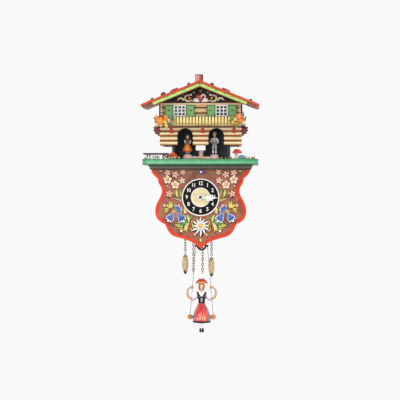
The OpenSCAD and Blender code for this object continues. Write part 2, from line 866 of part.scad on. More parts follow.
// Sleeve, bent forearm and a fist closed round the wire
module doll_arms() {
    grip = wire_at(hand_z);
    color("tan") pair() translate([0, swing_y, 0]) {
        translate([7.5, 0, -187.2]) sphere(2.9);
        translate([7.8, 0, -190.4]) sphere(2.8);
        difference() {
            union() {
                translate([grip, 0, hand_z]) rotate([0, -wire_lean, 0])
                    cylinder(h = 3, r = 1.5, center = true);
                translate([grip + 0.2, 0, hand_z - 5.3]) rotate([90, 0, 0])
                    rotate([0, 0, -100]) rotate_extrude(angle = 195)
                        translate([5.2, 0]) circle(1.15);
            }
            translate([wire_low[0], 0, wire_low[1]]) rotate([0, -wire_lean, 0])
                cylinder(h = 80, r = wire_r + 0.1);
        }
    }
}

module doll_legs() {
    color("black") translate([0, swing_y, 0]) pair() translate([1.4, 0, 0]) {
        translate([0, 0, -226.4]) cylinder(h = skirt_low + 226.4, r = 0.9);
        translate([0, -0.6, -230.8]) cylinder(h = 5, r1 = 1.35, r2 = 1.2);
    }
}

// ---- one node at a time ----

base_board();
base_moulding();
case_boards();
shield();
stage_box();
log_front();
log_side_walls();
upper_front();
windows();
shutters();
gable_panel();
house_back();
balcony_floor();
balcony_rail();
balcony_flowers();
roof_left();
roof_right();
fascias();
bargeboards();
chimney();
roof_stones();
fence();
garden_plants();
door_sign();
weather_arm();
gut_cord();
arm_pivots();
woman_figure();
man_figure();
dial_plate();
movement_case();
movement_cover();
battery();
circuit_board();
bush_nut();
hour_wheel();
hour_hand();
centre_wheel();
minute_hand();
hand_nut();
idler_wheel();
third_wheel();
screw_eyes();
chain(chain_x[0], weight_links_left);  // weight_chain_left
chain(chain_x[3], weight_links_right);  // weight_chain_right
chain(chain_x[1], free_links);  // free_chain_left
chain(chain_x[2], free_links);  // free_chain_right
cone_weight(chain_x[0], weight_links_left);  // weight_left
cone_weight(chain_x[3], weight_links_right);  // weight_right
swing_bracket();
drive_coil();
swing_rocker();
swing_magnets();
swing_wires();
swing_seat();
doll_skirt();
doll_body();
doll_head();
doll_arms();
doll_legs();
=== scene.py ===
"""Looks of the wall-hung chalet clock: painted wood, carved figures and cast weights round the CAD frame.

Shapes are worked out in millimetres in the clock's own frame, +Z up and -Y towards the room, and
become metres when they are made into pieces.
"""

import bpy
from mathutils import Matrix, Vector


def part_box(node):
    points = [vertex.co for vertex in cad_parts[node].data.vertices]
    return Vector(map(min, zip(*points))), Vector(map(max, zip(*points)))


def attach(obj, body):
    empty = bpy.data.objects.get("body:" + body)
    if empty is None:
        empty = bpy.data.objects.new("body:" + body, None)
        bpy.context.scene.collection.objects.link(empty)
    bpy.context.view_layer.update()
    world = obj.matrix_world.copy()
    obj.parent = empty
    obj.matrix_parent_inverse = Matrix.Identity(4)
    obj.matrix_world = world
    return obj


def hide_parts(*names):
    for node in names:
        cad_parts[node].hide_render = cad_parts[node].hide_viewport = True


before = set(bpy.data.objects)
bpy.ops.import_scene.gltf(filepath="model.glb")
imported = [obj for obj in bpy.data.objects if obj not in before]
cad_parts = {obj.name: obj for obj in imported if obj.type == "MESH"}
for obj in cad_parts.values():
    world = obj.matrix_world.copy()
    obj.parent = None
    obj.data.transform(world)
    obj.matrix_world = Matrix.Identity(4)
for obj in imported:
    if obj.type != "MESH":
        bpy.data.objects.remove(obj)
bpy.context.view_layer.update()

import math
import random

import bpy
from mathutils import Matrix, Vector, noise

MM = 0.001


def box_mm(node):
    """Lowest and highest corner of a CAD node, in millimetres."""
    low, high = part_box(node)
    return Vector(low) / MM, Vector(high) / MM


GROUND = box_mm("base_board")[1].z  # top of the landscape board
FACE = box_mm("shield")[0].y  # front of the shield
GABLE_FACE = box_mm("gable_panel")[0].y


# ---------------------------------------------------------------- materials


def srgb(red, green, blue):
    """A colour in 0 to 255 as the linear colour that a shader takes."""
    return tuple((c / 255) ** 2.2 for c in (red, green, blue)) + (1.0,)


def shade(colour, factor):
    """A colour made lighter or darker."""
    return tuple(min(1.0, c * factor) for c in colour[:3]) + (1.0,)


class Finish:
    """A procedural material, built from noise in the object's own coordinates."""

    def __init__(self, name, roughness=0.45, metallic=0.0, coat=0.0, specular=0.5):
        self.material = bpy.data.materials.new(name)
        self.material.use_nodes = True
        tree = self.material.node_tree
        self.nodes, self.links = tree.nodes, tree.links
        self.shader = self.nodes["Principled BSDF"]
        for socket, value in (("Roughness", roughness), ("Metallic", metallic), ("Coat Weight", coat),
                              ("Coat Roughness", 0.15), ("Specular IOR Level", specular)):
            self.shader.inputs[socket].default_value = value
        self.coordinates = self.nodes.new("ShaderNodeTexCoord").outputs["Object"]

    def put(self, socket, value):
        """Sets a socket, or links it where the value is another socket."""
        if isinstance(value, bpy.types.NodeSocket):
            self.links.new(value, socket)
        else:
            socket.default_value = value

    def node(self, kind, **inputs):
        """A shader node with inputs given by name, with _ for a space."""
        made = self.nodes.new("ShaderNode" + kind)
        for name, value in inputs.items():
            self.put(made.inputs[name.replace("_", " ")], value)
        return made

    def stretched(self, stretch):
        """The object's coordinates, scaled along each axis."""
        return self.node("Mapping", Vector=self.coordinates, Scale=stretch).outputs["Vector"]

    def noise(self, scale, stretch=(1, 1, 1), detail=4.0):
        """Noise whose scale is in features per metre."""
        made = self.node("TexNoise", Vector=self.stretched(stretch), Scale=scale, Detail=detail)
        return made.outputs["Fac"]

    def bands(self, scale, stretch, distortion):
        """Wavy bands, such as the rings in sawn wood."""
        return self.node("TexWave", Vector=self.stretched(stretch), Scale=scale, Distortion=distortion,
                         Detail=3.0, Detail_Scale=1.5).outputs["Fac"]

    def ramp(self, factor, stops):
        """Colours along a factor: stops is a list of (place, colour)."""
        ramp = self.node("ValToRGB", Fac=factor)
        elements = ramp.color_ramp.elements
        while len(elements) < len(stops):
            elements.new(0.5)
        for element, (place, colour) in zip(elements, stops):
            element.position = place
            element.color = colour
        return ramp.outputs["Color"]

    def mix(self, factor, first, second, blend="MIX"):
        """Mixes two colours. The factor and the colours may be values or sockets."""
        mixer = self.node("Mix")
        mixer.data_type = "RGBA"
        mixer.blend_type = blend
        for index, value in ((0, factor), (6, first), (7, second)):
            self.put(mixer.inputs[index], value)
        return mixer.outputs[2]

    def along(self, axis):
        """The object's coordinate along an axis, in metres."""
        return self.node("SeparateXYZ", Vector=self.coordinates).outputs["XYZ".index(axis)]

    def beyond(self, axis, place, soft=0.05):
        """1 where the object's coordinate along an axis is over a place in millimetres, else 0."""
        return self.node("MapRange", Value=self.along(axis), From_Min=(place - soft) * MM,
                         From_Max=(place + soft) * MM).outputs["Result"]

    def repeat(self, axis, start, pitch):
        """0 to 1 along each pitch of an axis, counted from a start, in millimetres."""
        scaled, part = self.node("Math"), self.node("Math")
        scaled.operation, part.operation = "MULTIPLY_ADD", "FRACT"
        for index, value in enumerate((self.along(axis), 1 / (pitch * MM), -start / pitch)):
            self.put(scaled.inputs[index], value)
        self.put(part.inputs[0], scaled.outputs[0])
        return part.outputs[0]

    def zones(self, axis, first, stops, soft=0.12):
        """Colours stacked along an axis: stops is a list of (place in millimetres, colour beyond it)."""
        tone = first
        for place, colour in stops:
            tone = self.mix(self.beyond(axis, place, soft), tone, colour)
        return tone

    def colour(self, socket):
        """Takes the base colour from a socket."""
        self.put(self.shader.inputs["Base Color"], socket)

    def rough(self, factor, low, high):
        """Lets the roughness follow a factor between two values."""
        spread = self.node("MapRange", Value=factor, To_Min=low, To_Max=high)
        self.put(self.shader.inputs["Roughness"], spread.outputs["Result"])

    def bump(self, factor, depth, strength=0.5):
        """Surface relief with a depth in millimetres, over any relief that is there."""
        relief = self.node("Bump", Height=factor, Distance=depth * MM, Strength=strength)
        normal = self.shader.inputs["Normal"]
        if normal.is_linked:
            self.put(relief.inputs["Normal"], normal.links[0].from_socket)
        self.put(normal, relief.outputs["Normal"])


def paint(name, colour, roughness=0.38, mottle=0.18, scale=260, coat=0.25, wear=0.0, worn=None, specular=0.5):
    """Brushed-on paint: slow mottling, brush marks, and thin places where what is under it shows."""
    f = Finish(name, roughness, coat=coat, specular=specular)
    slow = f.noise(scale)
    brush = f.noise(scale * 5, (1, 1, 0.25), detail=3)
    tone = f.ramp(slow, [(0.3, shade(colour, 1 - mottle)), (0.55, colour), (0.75, shade(colour, 1 + mottle))])
    if wear:
        spots = f.ramp(f.noise(scale * 3, detail=6), [(0.62, (0, 0, 0, 1)), (0.68, (wear, wear, wear, 1))])
        tone = f.mix(spots, tone, worn)
    f.colour(tone)
    f.rough(brush, roughness - 0.08, roughness + 0.14)
    f.bump(brush, 0.05)
    f.bump(slow, 0.08, 0.35)
    return f.material


def wood(name, light, dark, along="X", roughness=0.42, coat=0.3):
    """Varnished wood with the grain along one axis."""
    fibres, rings = 924, 50.4
    stretch = tuple(0.06 if axis == along else 1.0 for axis in "XYZ")
    f = Finish(name, roughness, coat=coat)
    fibre = f.noise(fibres, stretch, detail=6)
    tone = f.ramp(f.bands(rings, stretch, 3.5), [(0.1, light), (0.8, shade(light, 0.86)), (1.0, dark)])
    f.colour(f.mix(f.ramp(fibre, [(0.42, (0.55, 0.55, 0.55, 1)), (0.62, (0, 0, 0, 1))]), tone, dark))
    f.rough(fibre, roughness - 0.1, roughness + 0.15)
    f.bump(fibre, 0.08)
    return f.material


def logs(name, start, pitch, header=None):
    """Varnished half logs: a painted highlight along the middle of each, and painted shade in the grooves on
    both sides of a bead between them.
    """
    f = Finish(name, 0.42, coat=0.3)
    fibre = f.noise(900, (0.06, 1, 1), detail=6)
    dark, low, high = srgb(52, 22, 14), srgb(226, 158, 100), srgb(222, 152, 96)
    pale, bead = srgb(255, 244, 200), srgb(248, 196, 146)
    # The pale stops are a painted highlight on each log's crown; the dark stops are painted shade in the
    # grooves.
    tone = f.ramp(f.repeat("Z", start, pitch), [
        (0.0, dark), (0.06, srgb(120, 66, 40)), (0.2, low), (0.38, srgb(252, 206, 142)), (0.48, pale),
        (0.68, pale), (0.73, high), (0.77, dark), (0.81, dark), (0.84, bead), (0.92, bead), (0.95, dark)])
    if header:
        tone = f.mix(f.beyond("Z", header, 0.15), tone, srgb(236, 196, 142))
    streaks = f.ramp(fibre, [(0.32, (0.8, 0.74, 0.68, 1)), (0.5, (1, 1, 1, 1))])
    f.colour(f.mix(1.0, tone, streaks, "MULTIPLY"))
    f.rough(fibre, 0.32, 0.55)
    f.bump(fibre, 0.08)
    return f.material


def metal(name, bright, tarnish, roughness=0.28, spread=0.5, scale=500):
    """Metal with tarnish in patches and fine handling marks."""
    f = Finish(name, roughness, metallic=1.0)
    patches = f.noise(scale, detail=5)
    marks = f.noise(scale * 6, (1, 1, 0.2), detail=2)
    f.colour(f.ramp(patches, [(0.5 - spread / 2, tarnish), (0.5 + spread / 3, bright)]))
    f.rough(marks, roughness - 0.1, roughness + 0.2)
    f.bump(patches, 0.05)
    return f.material


def moulded(name, colour, roughness=0.5, grain=1800, specular=0.5):
    """Moulded plastic with a fine even grain."""
    f = Finish(name, roughness, specular=specular)
    fine = f.noise(grain, detail=2)
    f.colour(f.ramp(f.noise(160), [(0.35, shade(colour, 0.85)), (0.65, shade(colour, 1.12))]))
    f.rough(fine, roughness - 0.08, roughness + 0.1)
    f.bump(fine, 0.03, 0.6)
    return f.material


# What paint() takes after its name, from the colour on
PAINTS = {
    "white": (srgb(246, 243, 238), 0.35, 0.05),
    "cream": (srgb(246, 214, 176), 0.36, 0.10),
    "bone": (srgb(250, 232, 196), 0.36, 0.08),
    "pink": (srgb(240, 184, 164), 0.36, 0.10),
    "lilac": (srgb(214, 160, 186), 0.36, 0.10),
    "tan": (srgb(214, 150, 84), 0.38, 0.12),
    "amber": (srgb(236, 160, 40), 0.36, 0.12),
    "yellow": (srgb(238, 206, 84), 0.36, 0.12),
    "lime": (srgb(186, 200, 84), 0.38, 0.15),
    "leaf": (srgb(92, 142, 58), 0.38, 0.18),
    "olive": (srgb(112, 110, 40), 0.4, 0.2),
    "teal": (srgb(60, 142, 128), 0.38, 0.16),
    "sky": (srgb(128, 172, 220), 0.36, 0.1),
    "blue": (srgb(52, 84, 178), 0.34, 0.15),
    "navy": (srgb(28, 40, 104), 0.34, 0.15),
    "black": (srgb(16, 14, 15), 0.4, 0.2, 260, 0.0, 0.0, None, 0.2),
    "red": (srgb(206, 40, 34), 0.3, 0.12, 260, 0.5),
    "orange": (srgb(238, 112, 44), 0.32, 0.14),
    "crimson": (srgb(150, 28, 40), 0.34, 0.14),
    "maroon": (srgb(92, 38, 42), 0.4, 0.2),
    "skin": (srgb(250, 204, 176), 0.34, 0.06, 500),
    "blush": (srgb(226, 120, 96), 0.36, 0.06, 500),
    "hair": (srgb(106, 62, 28), 0.45, 0.3, 900),
    "blush_grey": (srgb(214, 176, 168), 0.42, 0.14),
    "grey": (srgb(136, 132, 136), 0.4, 0.14),
    "mauve": (srgb(158, 124, 140), 0.34, 0.14, 260, 0.4),
    "brown": (srgb(104, 62, 36), 0.42, 0.2),
}
PALETTE = {name: paint("paint_" + name, *recipe) for name, recipe in PAINTS.items()}


# Lighter copies in the same hues: painted light for small figures that stand in shade
PAINTED_LIGHT = {name: paint("light_" + name, shade(colour, min(1.7, 0.97 / max(colour[:3]))), *recipe)
         for name, (colour, *recipe) in PAINTS.items()}


# ---------------------------------------------------------------- shapes


def spin(axis, degrees):
    """A turn about an axis through the origin."""
    return Matrix.Rotation(math.radians(degrees), 4, axis)


def shift(*place):
    """A move to (x, y, z)."""
    return Matrix.Translation(place)


def polar(radius, degrees):
    """The two coordinates of a point on a circle."""
    return radius * math.cos(math.radians(degrees)), radius * math.sin(math.radians(degrees))


class Clay:
    """Gathers closed shapes, in millimetres round a place, and makes them into one piece."""

    def __init__(self, place=Matrix()):
        self.place = place
        self.points, self.faces, self.paints, self.colours = [], [], [], []

    def add(self, shape, colour, place=Matrix()):
        """Adds a shape, which is (points, faces), at a place. Faces of mirrored shapes are turned round."""
        points, faces = shape
        place = self.place @ place
        first = len(self.points)
        if colour not in self.colours:
            self.colours.append(colour)
        self.points += [place @ Vector(p) for p in points]
        turn = -1 if place.determinant() < 0 else 1
        self.faces += [[first + i for i in face][::turn] for face in faces]
        self.paints += [self.colours.index(colour)] * len(faces)

    def both(self, shape, colour, place=Matrix()):
        """Adds a shape and its mirror image on the other side of the middle."""
        self.add(shape, colour, place)
        self.add(shape, colour, MIRROR @ place)

    def piece(self, name, body, replaces=(), sharp=45, materials=PALETTE):
        """Makes the piece. Its colours are names in materials, and edges over sharp degrees stay hard."""
        mesh = bpy.data.meshes.new(name)
        mesh.from_pydata([p * MM for p in self.points], [], self.faces)
        for colour in self.colours:
            mesh.materials.append(materials[colour])
        mesh.polygons.foreach_set("material_index", self.paints)
        mesh.polygons.foreach_set("use_smooth", [True] * len(mesh.polygons))
        mesh.set_sharp_from_angle(angle=math.radians(sharp))
        mesh.validate()
        place_piece(name, mesh, body, replaces)


def place_piece(name, mesh, body, replaces=()):
    """Puts a mesh in the scene as a piece that rides on a body."""
    made = bpy.data.objects.new(name, mesh)
    bpy.context.scene.collection.objects.link(made)
    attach(made, body)
    if replaces:
        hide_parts(*replaces)


def skin_rings(rings, caps=True):
    """Faces that join closed rings of equal count, with an n-gon on each end."""
    count = len(rings[0])
    points = [p for ring in rings for p in ring]
    faces = []
    for r in range(len(rings) - 1):
        for i in range(count):
            j = (i + 1) % count
            faces.append([r * count + i, r * count + j, (r + 1) * count + j, (r + 1) * count + i])
    if caps:
        faces.append(list(range(count))[::-1])
        faces.append([(len(rings) - 1) * count + i for i in range(count)])
    return points, faces


def lathe(profile, sides=32, ripple=0.0, lobes=0, flat=1.0):
    """A turned shape from (radius, height) pairs, bottom to top. ripple makes folds that grow downward."""
    rings = []
    top = profile[-1][1]
    span = max(1e-6, top - profile[0][1])
    for radius, height in profile:
        ring = []
        fold = ripple * (top - height) / span
        for i in range(sides):
            a = 2 * math.pi * i / sides
            r = max(radius, 0.01) * (1 + fold * math.sin(lobes * a))
            ring.append((r * math.cos(a), flat * r * math.sin(a), height))
        rings.append(ring)
    return skin_rings(rings)


def ball(radii, sides=20, rings=12, lump=0.0, seed=0.0):
    """An ellipsoid, with lumps where lump is over 0. radii is one radius or one for each axis."""
    if isinstance(radii, (int, float)):
        radii = (radii,) * 3
    rows = []
    for j in range(rings + 1):
        v = math.pi * (0.02 + 0.96 * j / rings)
        row = []
        for i in range(sides):
            u = 2 * math.pi * i / sides
            d = Vector((math.sin(v) * math.cos(u), math.sin(v) * math.sin(u), -math.cos(v)))
            k = 1 + lump * noise.noise(d * 1.7 + Vector((seed, seed * 0.7, 3.1)))
            row.append((d.x * radii[0] * k, d.y * radii[1] * k, d.z * radii[2] * k))
        rows.append(row)
    return skin_rings(rows)


def tube(path, radii, sides=10, flat=1.0):
    """A round bar along a path. radii is one radius or one for each point."""
    path = [Vector(p) for p in path]
    if isinstance(radii, (int, float)):
        radii = [radii] * len(path)
    rings = []
    side = None
    for i, p in enumerate(path):
        ahead = (path[min(i + 1, len(path) - 1)] - path[max(i - 1, 0)]).normalized()
        if side is None:
            side = ahead.orthogonal().normalized()
        side = (side - ahead * side.dot(ahead)).normalized()
        up = ahead.cross(side)
        rings.append([p + (side * math.cos(a) + up * flat * math.sin(a)) * radii[i]
                      for a in (2 * math.pi * k / sides for k in range(sides))])
    return skin_rings(rings)


def arc(centre, radius, start, end, steps, plane="XZ"):
    """Points on an arc, with its angles in degrees."""
    out = []
    for i in range(steps + 1):
        u, v = polar(radius, start + (end - start) * i / steps)
        offset = {"XZ": (u, 0, v), "XY": (u, v, 0)}[plane]
        out.append(Vector(centre) + Vector(offset))
    return out


def block(low, high, chamfer=0.3):
    """A block with chamfered edges."""
    (x0, y0, z0), (x1, y1, z1) = low, high
    c = min(chamfer, (x1 - x0) / 3, (y1 - y0) / 3, (z1 - z0) / 3)
    rings = []
    for z, inset in ((z0, c), (z0 + c, 0), (z1 - c, 0), (z1, c)):
        a0, a1, b0, b1 = x0 + inset, x1 - inset, y0 + inset, y1 - inset
        rings.append([(a0 + c, b0, z), (a1 - c, b0, z), (a1, b0 + c, z), (a1, b1 - c, z),
                      (a1 - c, b1, z), (a0 + c, b1, z), (a0, b1 - c, z), (a0, b0 + c, z)])
    return skin_rings(rings)


# Half width along a brush dab, as a share of its greatest
PROFILES = {
    "leaf": lambda t: math.sin(math.pi * t) ** 0.8,
    "petal": lambda t: math.sin(math.pi * t ** 1.5) ** 0.6,
    "comma": lambda t: min(1.0, (6 * t) ** 0.5) * (1 - t) ** 0.7,
    "round": lambda t: math.sqrt(max(0.0, 1 - (2 * t - 1) ** 2)),
    "line": lambda t: min(1.0, (8 * t) ** 0.5, (8 * (1 - t)) ** 0.5),
}
# Cross-section of a dab: shares of its half width and of its thickness
SECTION = ((-1, 0), (-0.75, 0.62), (-0.3, 0.95), (0.3, 0.95),
           (0.75, 0.62), (1, 0), (0.6, -0.15), (-0.6, -0.15))


def dab(length, width, height=0.3, profile="petal", bend=0.0, lift=0.0, cup=0.0, steps=9):
    """A brush dab or petal along +X, domed towards +Z. bend curves it sideways, lift raises its end."""
    rings = []
    for i in range(steps + 1):
        t = 0.015 + 0.97 * i / steps
        half = max(0.02, PROFILES[profile](t) * width / 2)
        x, y, z = length * t, bend * 4 * t * (1 - t), lift * t * t
        thick = height * min(1.0, half / (0.3 * width))
        rings.append([(x, y + half * s, z + cup * s * s * half + thick * h) for s, h in SECTION])
    points, faces = skin_rings(rings)
    return points, [face[::-1] for face in faces]


def on_front(x, z, y, degrees=0.0):
    """Places a dab on a face that looks towards -Y, with its length at an angle from +X towards +Z."""
    across, up = polar(1, degrees)
    return Matrix(((across, -up, 0, x), (0, 0, -1, y), (up, across, 0, z), (0, 0, 0, 1)))


def at(x, y, z, turn=0.0, tilt=0.0, lean=0.0):
    """A place, turned about Z, then tilted about X and leant about Y, in degrees."""
    return shift(x, y, z) @ spin("Z", turn) @ spin("X", tilt) @ spin("Y", lean)


MIRROR = Matrix.Scale(-1, 4, (1, 0, 0))
UPRIGHT = Matrix(((1, 0, 0, 0), (0, 0, -1, 0), (0, 1, 0, 0), (0, 0, 0, 1)))  # turns +Z towards -Y


# ---------------------------------------------------------------- CAD nodes that keep their shape


def dress(node, material, bevel, segments):
    """Gives a CAD node its finish and, where bevel is over 0, softens its edges."""
    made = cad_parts[node]
    made.material_slots[0].material = material
    if bevel:
        weld = made.modifiers.new("weld", "WELD")
        weld.merge_threshold = 1e-6
        flat = made.modifiers.new("flat", "DECIMATE")
        flat.decimate_type = "DISSOLVE"
        flat.angle_limit = math.radians(1)
        edge = made.modifiers.new("edge", "BEVEL")
        edge.width = bevel * MM
        edge.segments = segments
        edge.limit_method = "ANGLE"
        edge.angle_limit = math.radians(35)
        edge.use_clamp_overlap = True
        made.modifiers.new("normals", "WEIGHTED_NORMAL")


fence_wood = wood("fence_wood", srgb(66, 34, 28), srgb(30, 15, 12))
brass = metal("brass_polished", srgb(226, 184, 104), srgb(120, 84, 40))
chain_brass = metal("brass_chain", srgb(176, 134, 72), srgb(36, 26, 18), 0.34, 0.2, 900)
steel = metal("steel_satin", srgb(206, 206, 210), srgb(140, 140, 146), 0.3)
black_plastic = moulded("plastic_black", srgb(22, 22, 24), 0.4, specular=0.3)
movement_plastic = moulded("plastic_movement", srgb(44, 46, 50), 0.55)
nylon = moulded("plastic_nylon", srgb(232, 230, 220), 0.42)
ivory = moulded("plastic_ivory", srgb(250, 247, 238), 0.3, 900)


def glazed(name, first, stops, axis="Z", roughness=0.34, coat=0.4, soft=0.4):
    """Shaded paint whose tones follow one axis, mottled and brushed along X."""
    f = Finish(name, roughness, coat=coat)
    slow = f.noise(150, detail=6)
    brush = f.noise(900, (0.2, 1, 1), detail=3)
    mottle = f.ramp(slow, [(0.32, (0.74, 0.74, 0.74, 1)), (0.6, (1, 1, 1, 1))])
    f.colour(f.mix(1.0, f.zones(axis, first, stops, soft), mottle, "MULTIPLY"))
    f.rough(brush, roughness - 0.1, roughness + 0.12)
    f.bump(brush, 0.06)
    return f.material


def board_finish():
    """Green paint with a painted highlight along the lower middle of the edge, painted shade at its foot, and
    a little darker towards the top.
    """
    low, high = box_mm("base_board")
    # The light stop at low.z + 2.0 is a painted highlight; the dark colour below low.z + 0.9 is painted
    # shade.
    return glazed("base_green", srgb(22, 74, 46), [
        (low.z + 0.9, srgb(52, 148, 96)), (low.z + 2.0, srgb(112, 204, 148)),
        (low.z + 3.0, srgb(60, 160, 108)),
        (high.z - 1.6, srgb(44, 134, 88)), (high.z - 0.5, srgb(34, 112, 66))])


def moulding_finish():
    """Dark stepped moulding with a lighter olive line on its middle step, painted shadow of the board along
    its top, and dark at its foot.
    """
    low, high = box_mm("base_moulding")
    # The darkest stop along the top is painted shadow under the overhanging board.
    return glazed("moulding_dark", srgb(46, 26, 22), [
        (low.z + 0.8, srgb(44, 66, 46)), (low.z + 1.9, srgb(122, 100, 62)), (low.z + 2.7, srgb(40, 74, 54)),
        (high.z - 0.9, srgb(26, 44, 34))], soft=0.25)


def shutter_finish():
    """Dark green frame round a lighter panel."""
    front = box_mm("shutters")[0].y
    panel = [(front + 0.2, srgb(112, 186, 98))]
    return glazed("shutter_green", srgb(58, 128, 70), panel, "Y", 0.4, 0.2, 0.08)


def shield_finish():
    """Terracotta field, greener near the top, with an orange-red rim that is darker at its edge."""
    back, greener_over = box_mm("shield")[1].y, -53
    f = Finish("shield_paint", 0.4, coat=0.1, specular=0.25)
    slow = f.noise(120, detail=6)
    fine = f.noise(1400, (1, 1, 0.4), detail=3)
    field = f.ramp(slow, [(0.3, srgb(104, 62, 46)), (0.5, srgb(150, 86, 68)), (0.72, srgb(170, 106, 74))])
    green = f.mix(f.beyond("Z", greener_over, 4), (0, 0, 0, 1), (0.6, 0.6, 0.6, 1))
    field = f.mix(green, field, srgb(92, 66, 40))
    rim = f.ramp(slow, [(0.3, srgb(206, 48, 14)), (0.7, srgb(230, 68, 20))])
    rim = f.mix(f.beyond("Y", FACE + 1.75, 0.2), rim, srgb(146, 28, 24))
    rim = f.mix(f.beyond("Y", back - 0.9, 0.3), rim, srgb(96, 40, 30))
    f.colour(f.mix(f.beyond("Y", FACE + 0.45, 0.12), field, rim))
    f.rough(fine, 0.28, 0.5)
    f.bump(fine, 0.06)
    return f.material


def rail_finish():
    """Pale yellow pickets in front of rails that are dark above and gold below."""
    low = box_mm("balcony_rail")[0]
    f = Finish("rail_paint", 0.4, coat=0.25)
    slow = f.noise(300)
    picket = f.ramp(slow, [(0.3, srgb(238, 204, 110)), (0.7, srgb(255, 236, 158))])
    behind = f.mix(f.beyond("Z", low.z + 4.6, 2.2), srgb(128, 100, 16), srgb(30, 22, 8))
    f.colour(f.mix(f.beyond("Y", low.y + 0.95), picket, behind))
    f.rough(slow, 0.32, 0.55)
    f.bump(slow, 0.05)
    return f.material


def battery_finish():
    """A cell's sleeve in black and copper, between bare steel ends."""
    can_end, copper_from, cap_from = -23.9, 12, 24.15
    f = Finish("battery_sleeve", 0.3, metallic=0.6, coat=0.3)
    slow = f.noise(300)
    zones = [(can_end, srgb(38, 40, 44)), (copper_from, srgb(196, 128, 66)), (cap_from, srgb(210, 210, 212))]
    f.colour(f.zones("X", srgb(206, 206, 208), zones, 0.05))
    f.rough(slow, 0.22, 0.4)
    f.bump(slow, 0.03, 0.4)
    return f.material


def balcony_finish():
    """Varnished scalloped edge with painted shade on the floor behind it, and dark red corbels at the wall.
    """
    edge, corbel_from = box_mm("balcony_floor")[0].y, -53.5
    f = Finish("balcony_wood", 0.4, coat=0.3)
    fibre = f.noise(900, (0.06, 1, 1), detail=6)
    tan = f.ramp(fibre, [(0.35, srgb(128, 104, 48)), (0.6, srgb(192, 158, 88))])
    # Painted shade on the floor behind the scalloped edge.
    floor_shade = f.ramp(fibre, [(0.35, srgb(60, 30, 24)), (0.65, srgb(92, 52, 38))])
    dark = f.ramp(fibre, [(0.35, srgb(70, 26, 32)), (0.65, srgb(112, 44, 50))])
    f.colour(f.mix(f.beyond("Y", corbel_from), f.mix(f.beyond("Y", edge + 0.6, 0.1), tan, floor_shade), dark))
    f.rough(fibre, 0.3, 0.5)
    f.bump(fibre, 0.08)
    return f.material


# Each row: the nodes, their finish, the width of their softened edges and its segments
DRESSED = (
    ("base_board", board_finish(), 2.4, 4),
    ("base_moulding", moulding_finish(), 0.5, 2),
    ("case_boards", wood("case_wood", srgb(134, 84, 50), srgb(74, 42, 24), "Z"), 0.4, 2),
    ("shield", shield_finish(), 0.7, 2),
    ("stage_box", paint("stage_dark", srgb(70, 78, 80), 0.6, 0.2, 200, 0.0, specular=0.2), 0.3, 2),
    ("log_front", logs("log_wood", -22.4, 5.225), 0.25, 2),
    ("log_side_walls", wood("side_wood", srgb(222, 168, 116), srgb(140, 84, 50), "Y"), 0.25, 2),
    ("upper_front", logs("upper_wood", 1.1, 5.97, 22.0), 0.2, 2),
    ("shutters", shutter_finish(), 0.25, 2),
    ("gable_panel", paint("gable_dark", srgb(44, 36, 34), 0.5, 0.3, 200, 0.0, 0.5, srgb(84, 60, 46), 0.2),
     0.2, 2),
    ("house_back", wood("raw_wood", srgb(214, 178, 134), srgb(160, 116, 76), "Z", 0.6, 0.0), 0.3, 2),
    ("balcony_floor", balcony_finish(), 0.25, 2),
    ("balcony_rail", rail_finish(), 0.22, 2),
    ("fascias", wood("fascia_wood", srgb(158, 90, 62), srgb(96, 46, 32)), 0.3, 2),
    ("fence", fence_wood, 0.15, 2),
    ("door_sign", PALETTE["white"], 0.2, 2),
    ("weather_arm", wood("pale_wood", srgb(255, 218, 208), srgb(218, 158, 146), "X", 0.5, 0.1), 0.3, 2),
    ("gut_cord", moulded("gut_twist", srgb(214, 190, 140), 0.5), 0, 2),
    ("movement_case movement_cover", movement_plastic, 0.3, 2),
    ("battery", battery_finish(), 0.3, 2),
    ("circuit_board", moulded("board_green", srgb(36, 118, 72), 0.35), 0.1, 2),
    ("bush_nut", moulded("nut_ivory", srgb(240, 228, 196), 0.3, 900), 0.15, 2),
    ("hour_hand minute_hand", ivory, 0.18, 2),
    ("hand_nut", black_plastic, 0.15, 2),
    ("arm_pivots hour_wheel centre_wheel screw_eyes", brass, 0, 2),
    ("idler_wheel third_wheel", nylon, 0, 2),
    ("weight_chain_left weight_chain_right free_chain_left free_chain_right", chain_brass, 0, 2),
    ("swing_bracket", steel, 0.15, 2),
    ("drive_coil", metal("copper_wire", srgb(206, 120, 76), srgb(120, 58, 34), 0.34), 0.2, 2),
    ("swing_rocker", black_plastic, 0, 2),
    ("swing_magnets", steel, 0.2, 2),
    ("swing_wires", paint("wire_white", srgb(164, 156, 180), 0.3, 0.05), 0, 2),
    ("swing_seat", wood("seat_wood", srgb(220, 152, 92), srgb(150, 90, 46), "X", 0.36, 0.4), 0, 2),
)
for names, finish, bevel, segments in DRESSED:
    for name in names.split():
        dress(name, finish, bevel, segments)


# ---------------------------------------------------------------- painted flowers on the shield


def stroke(clay, x, z, degrees, length, width, colour, profile="leaf", bend=0.0, layer=1, height=0.22):
    """One brush stroke on the shield, on both sides of the middle, with a black stroke under a broad one."""
    clay.both(dab(length, width, height, profile, bend), colour, on_front(x, z, FACE - 0.05 * layer, degrees))
    if width > 0.95 and layer < 5 and colour != "black":
        shadow = dab(length * 1.06, width * 1.22, 0.1, profile, bend)
        clay.both(shadow, "black", on_front(x + 0.3, z - 0.55, FACE - 0.01, degrees))


def spot(clay, x, z, r, colour, layer, height):
    """A round dot."""
    stroke(clay, x - r, z, 0, 2 * r, 2 * r, colour, "round", 0, layer, height)


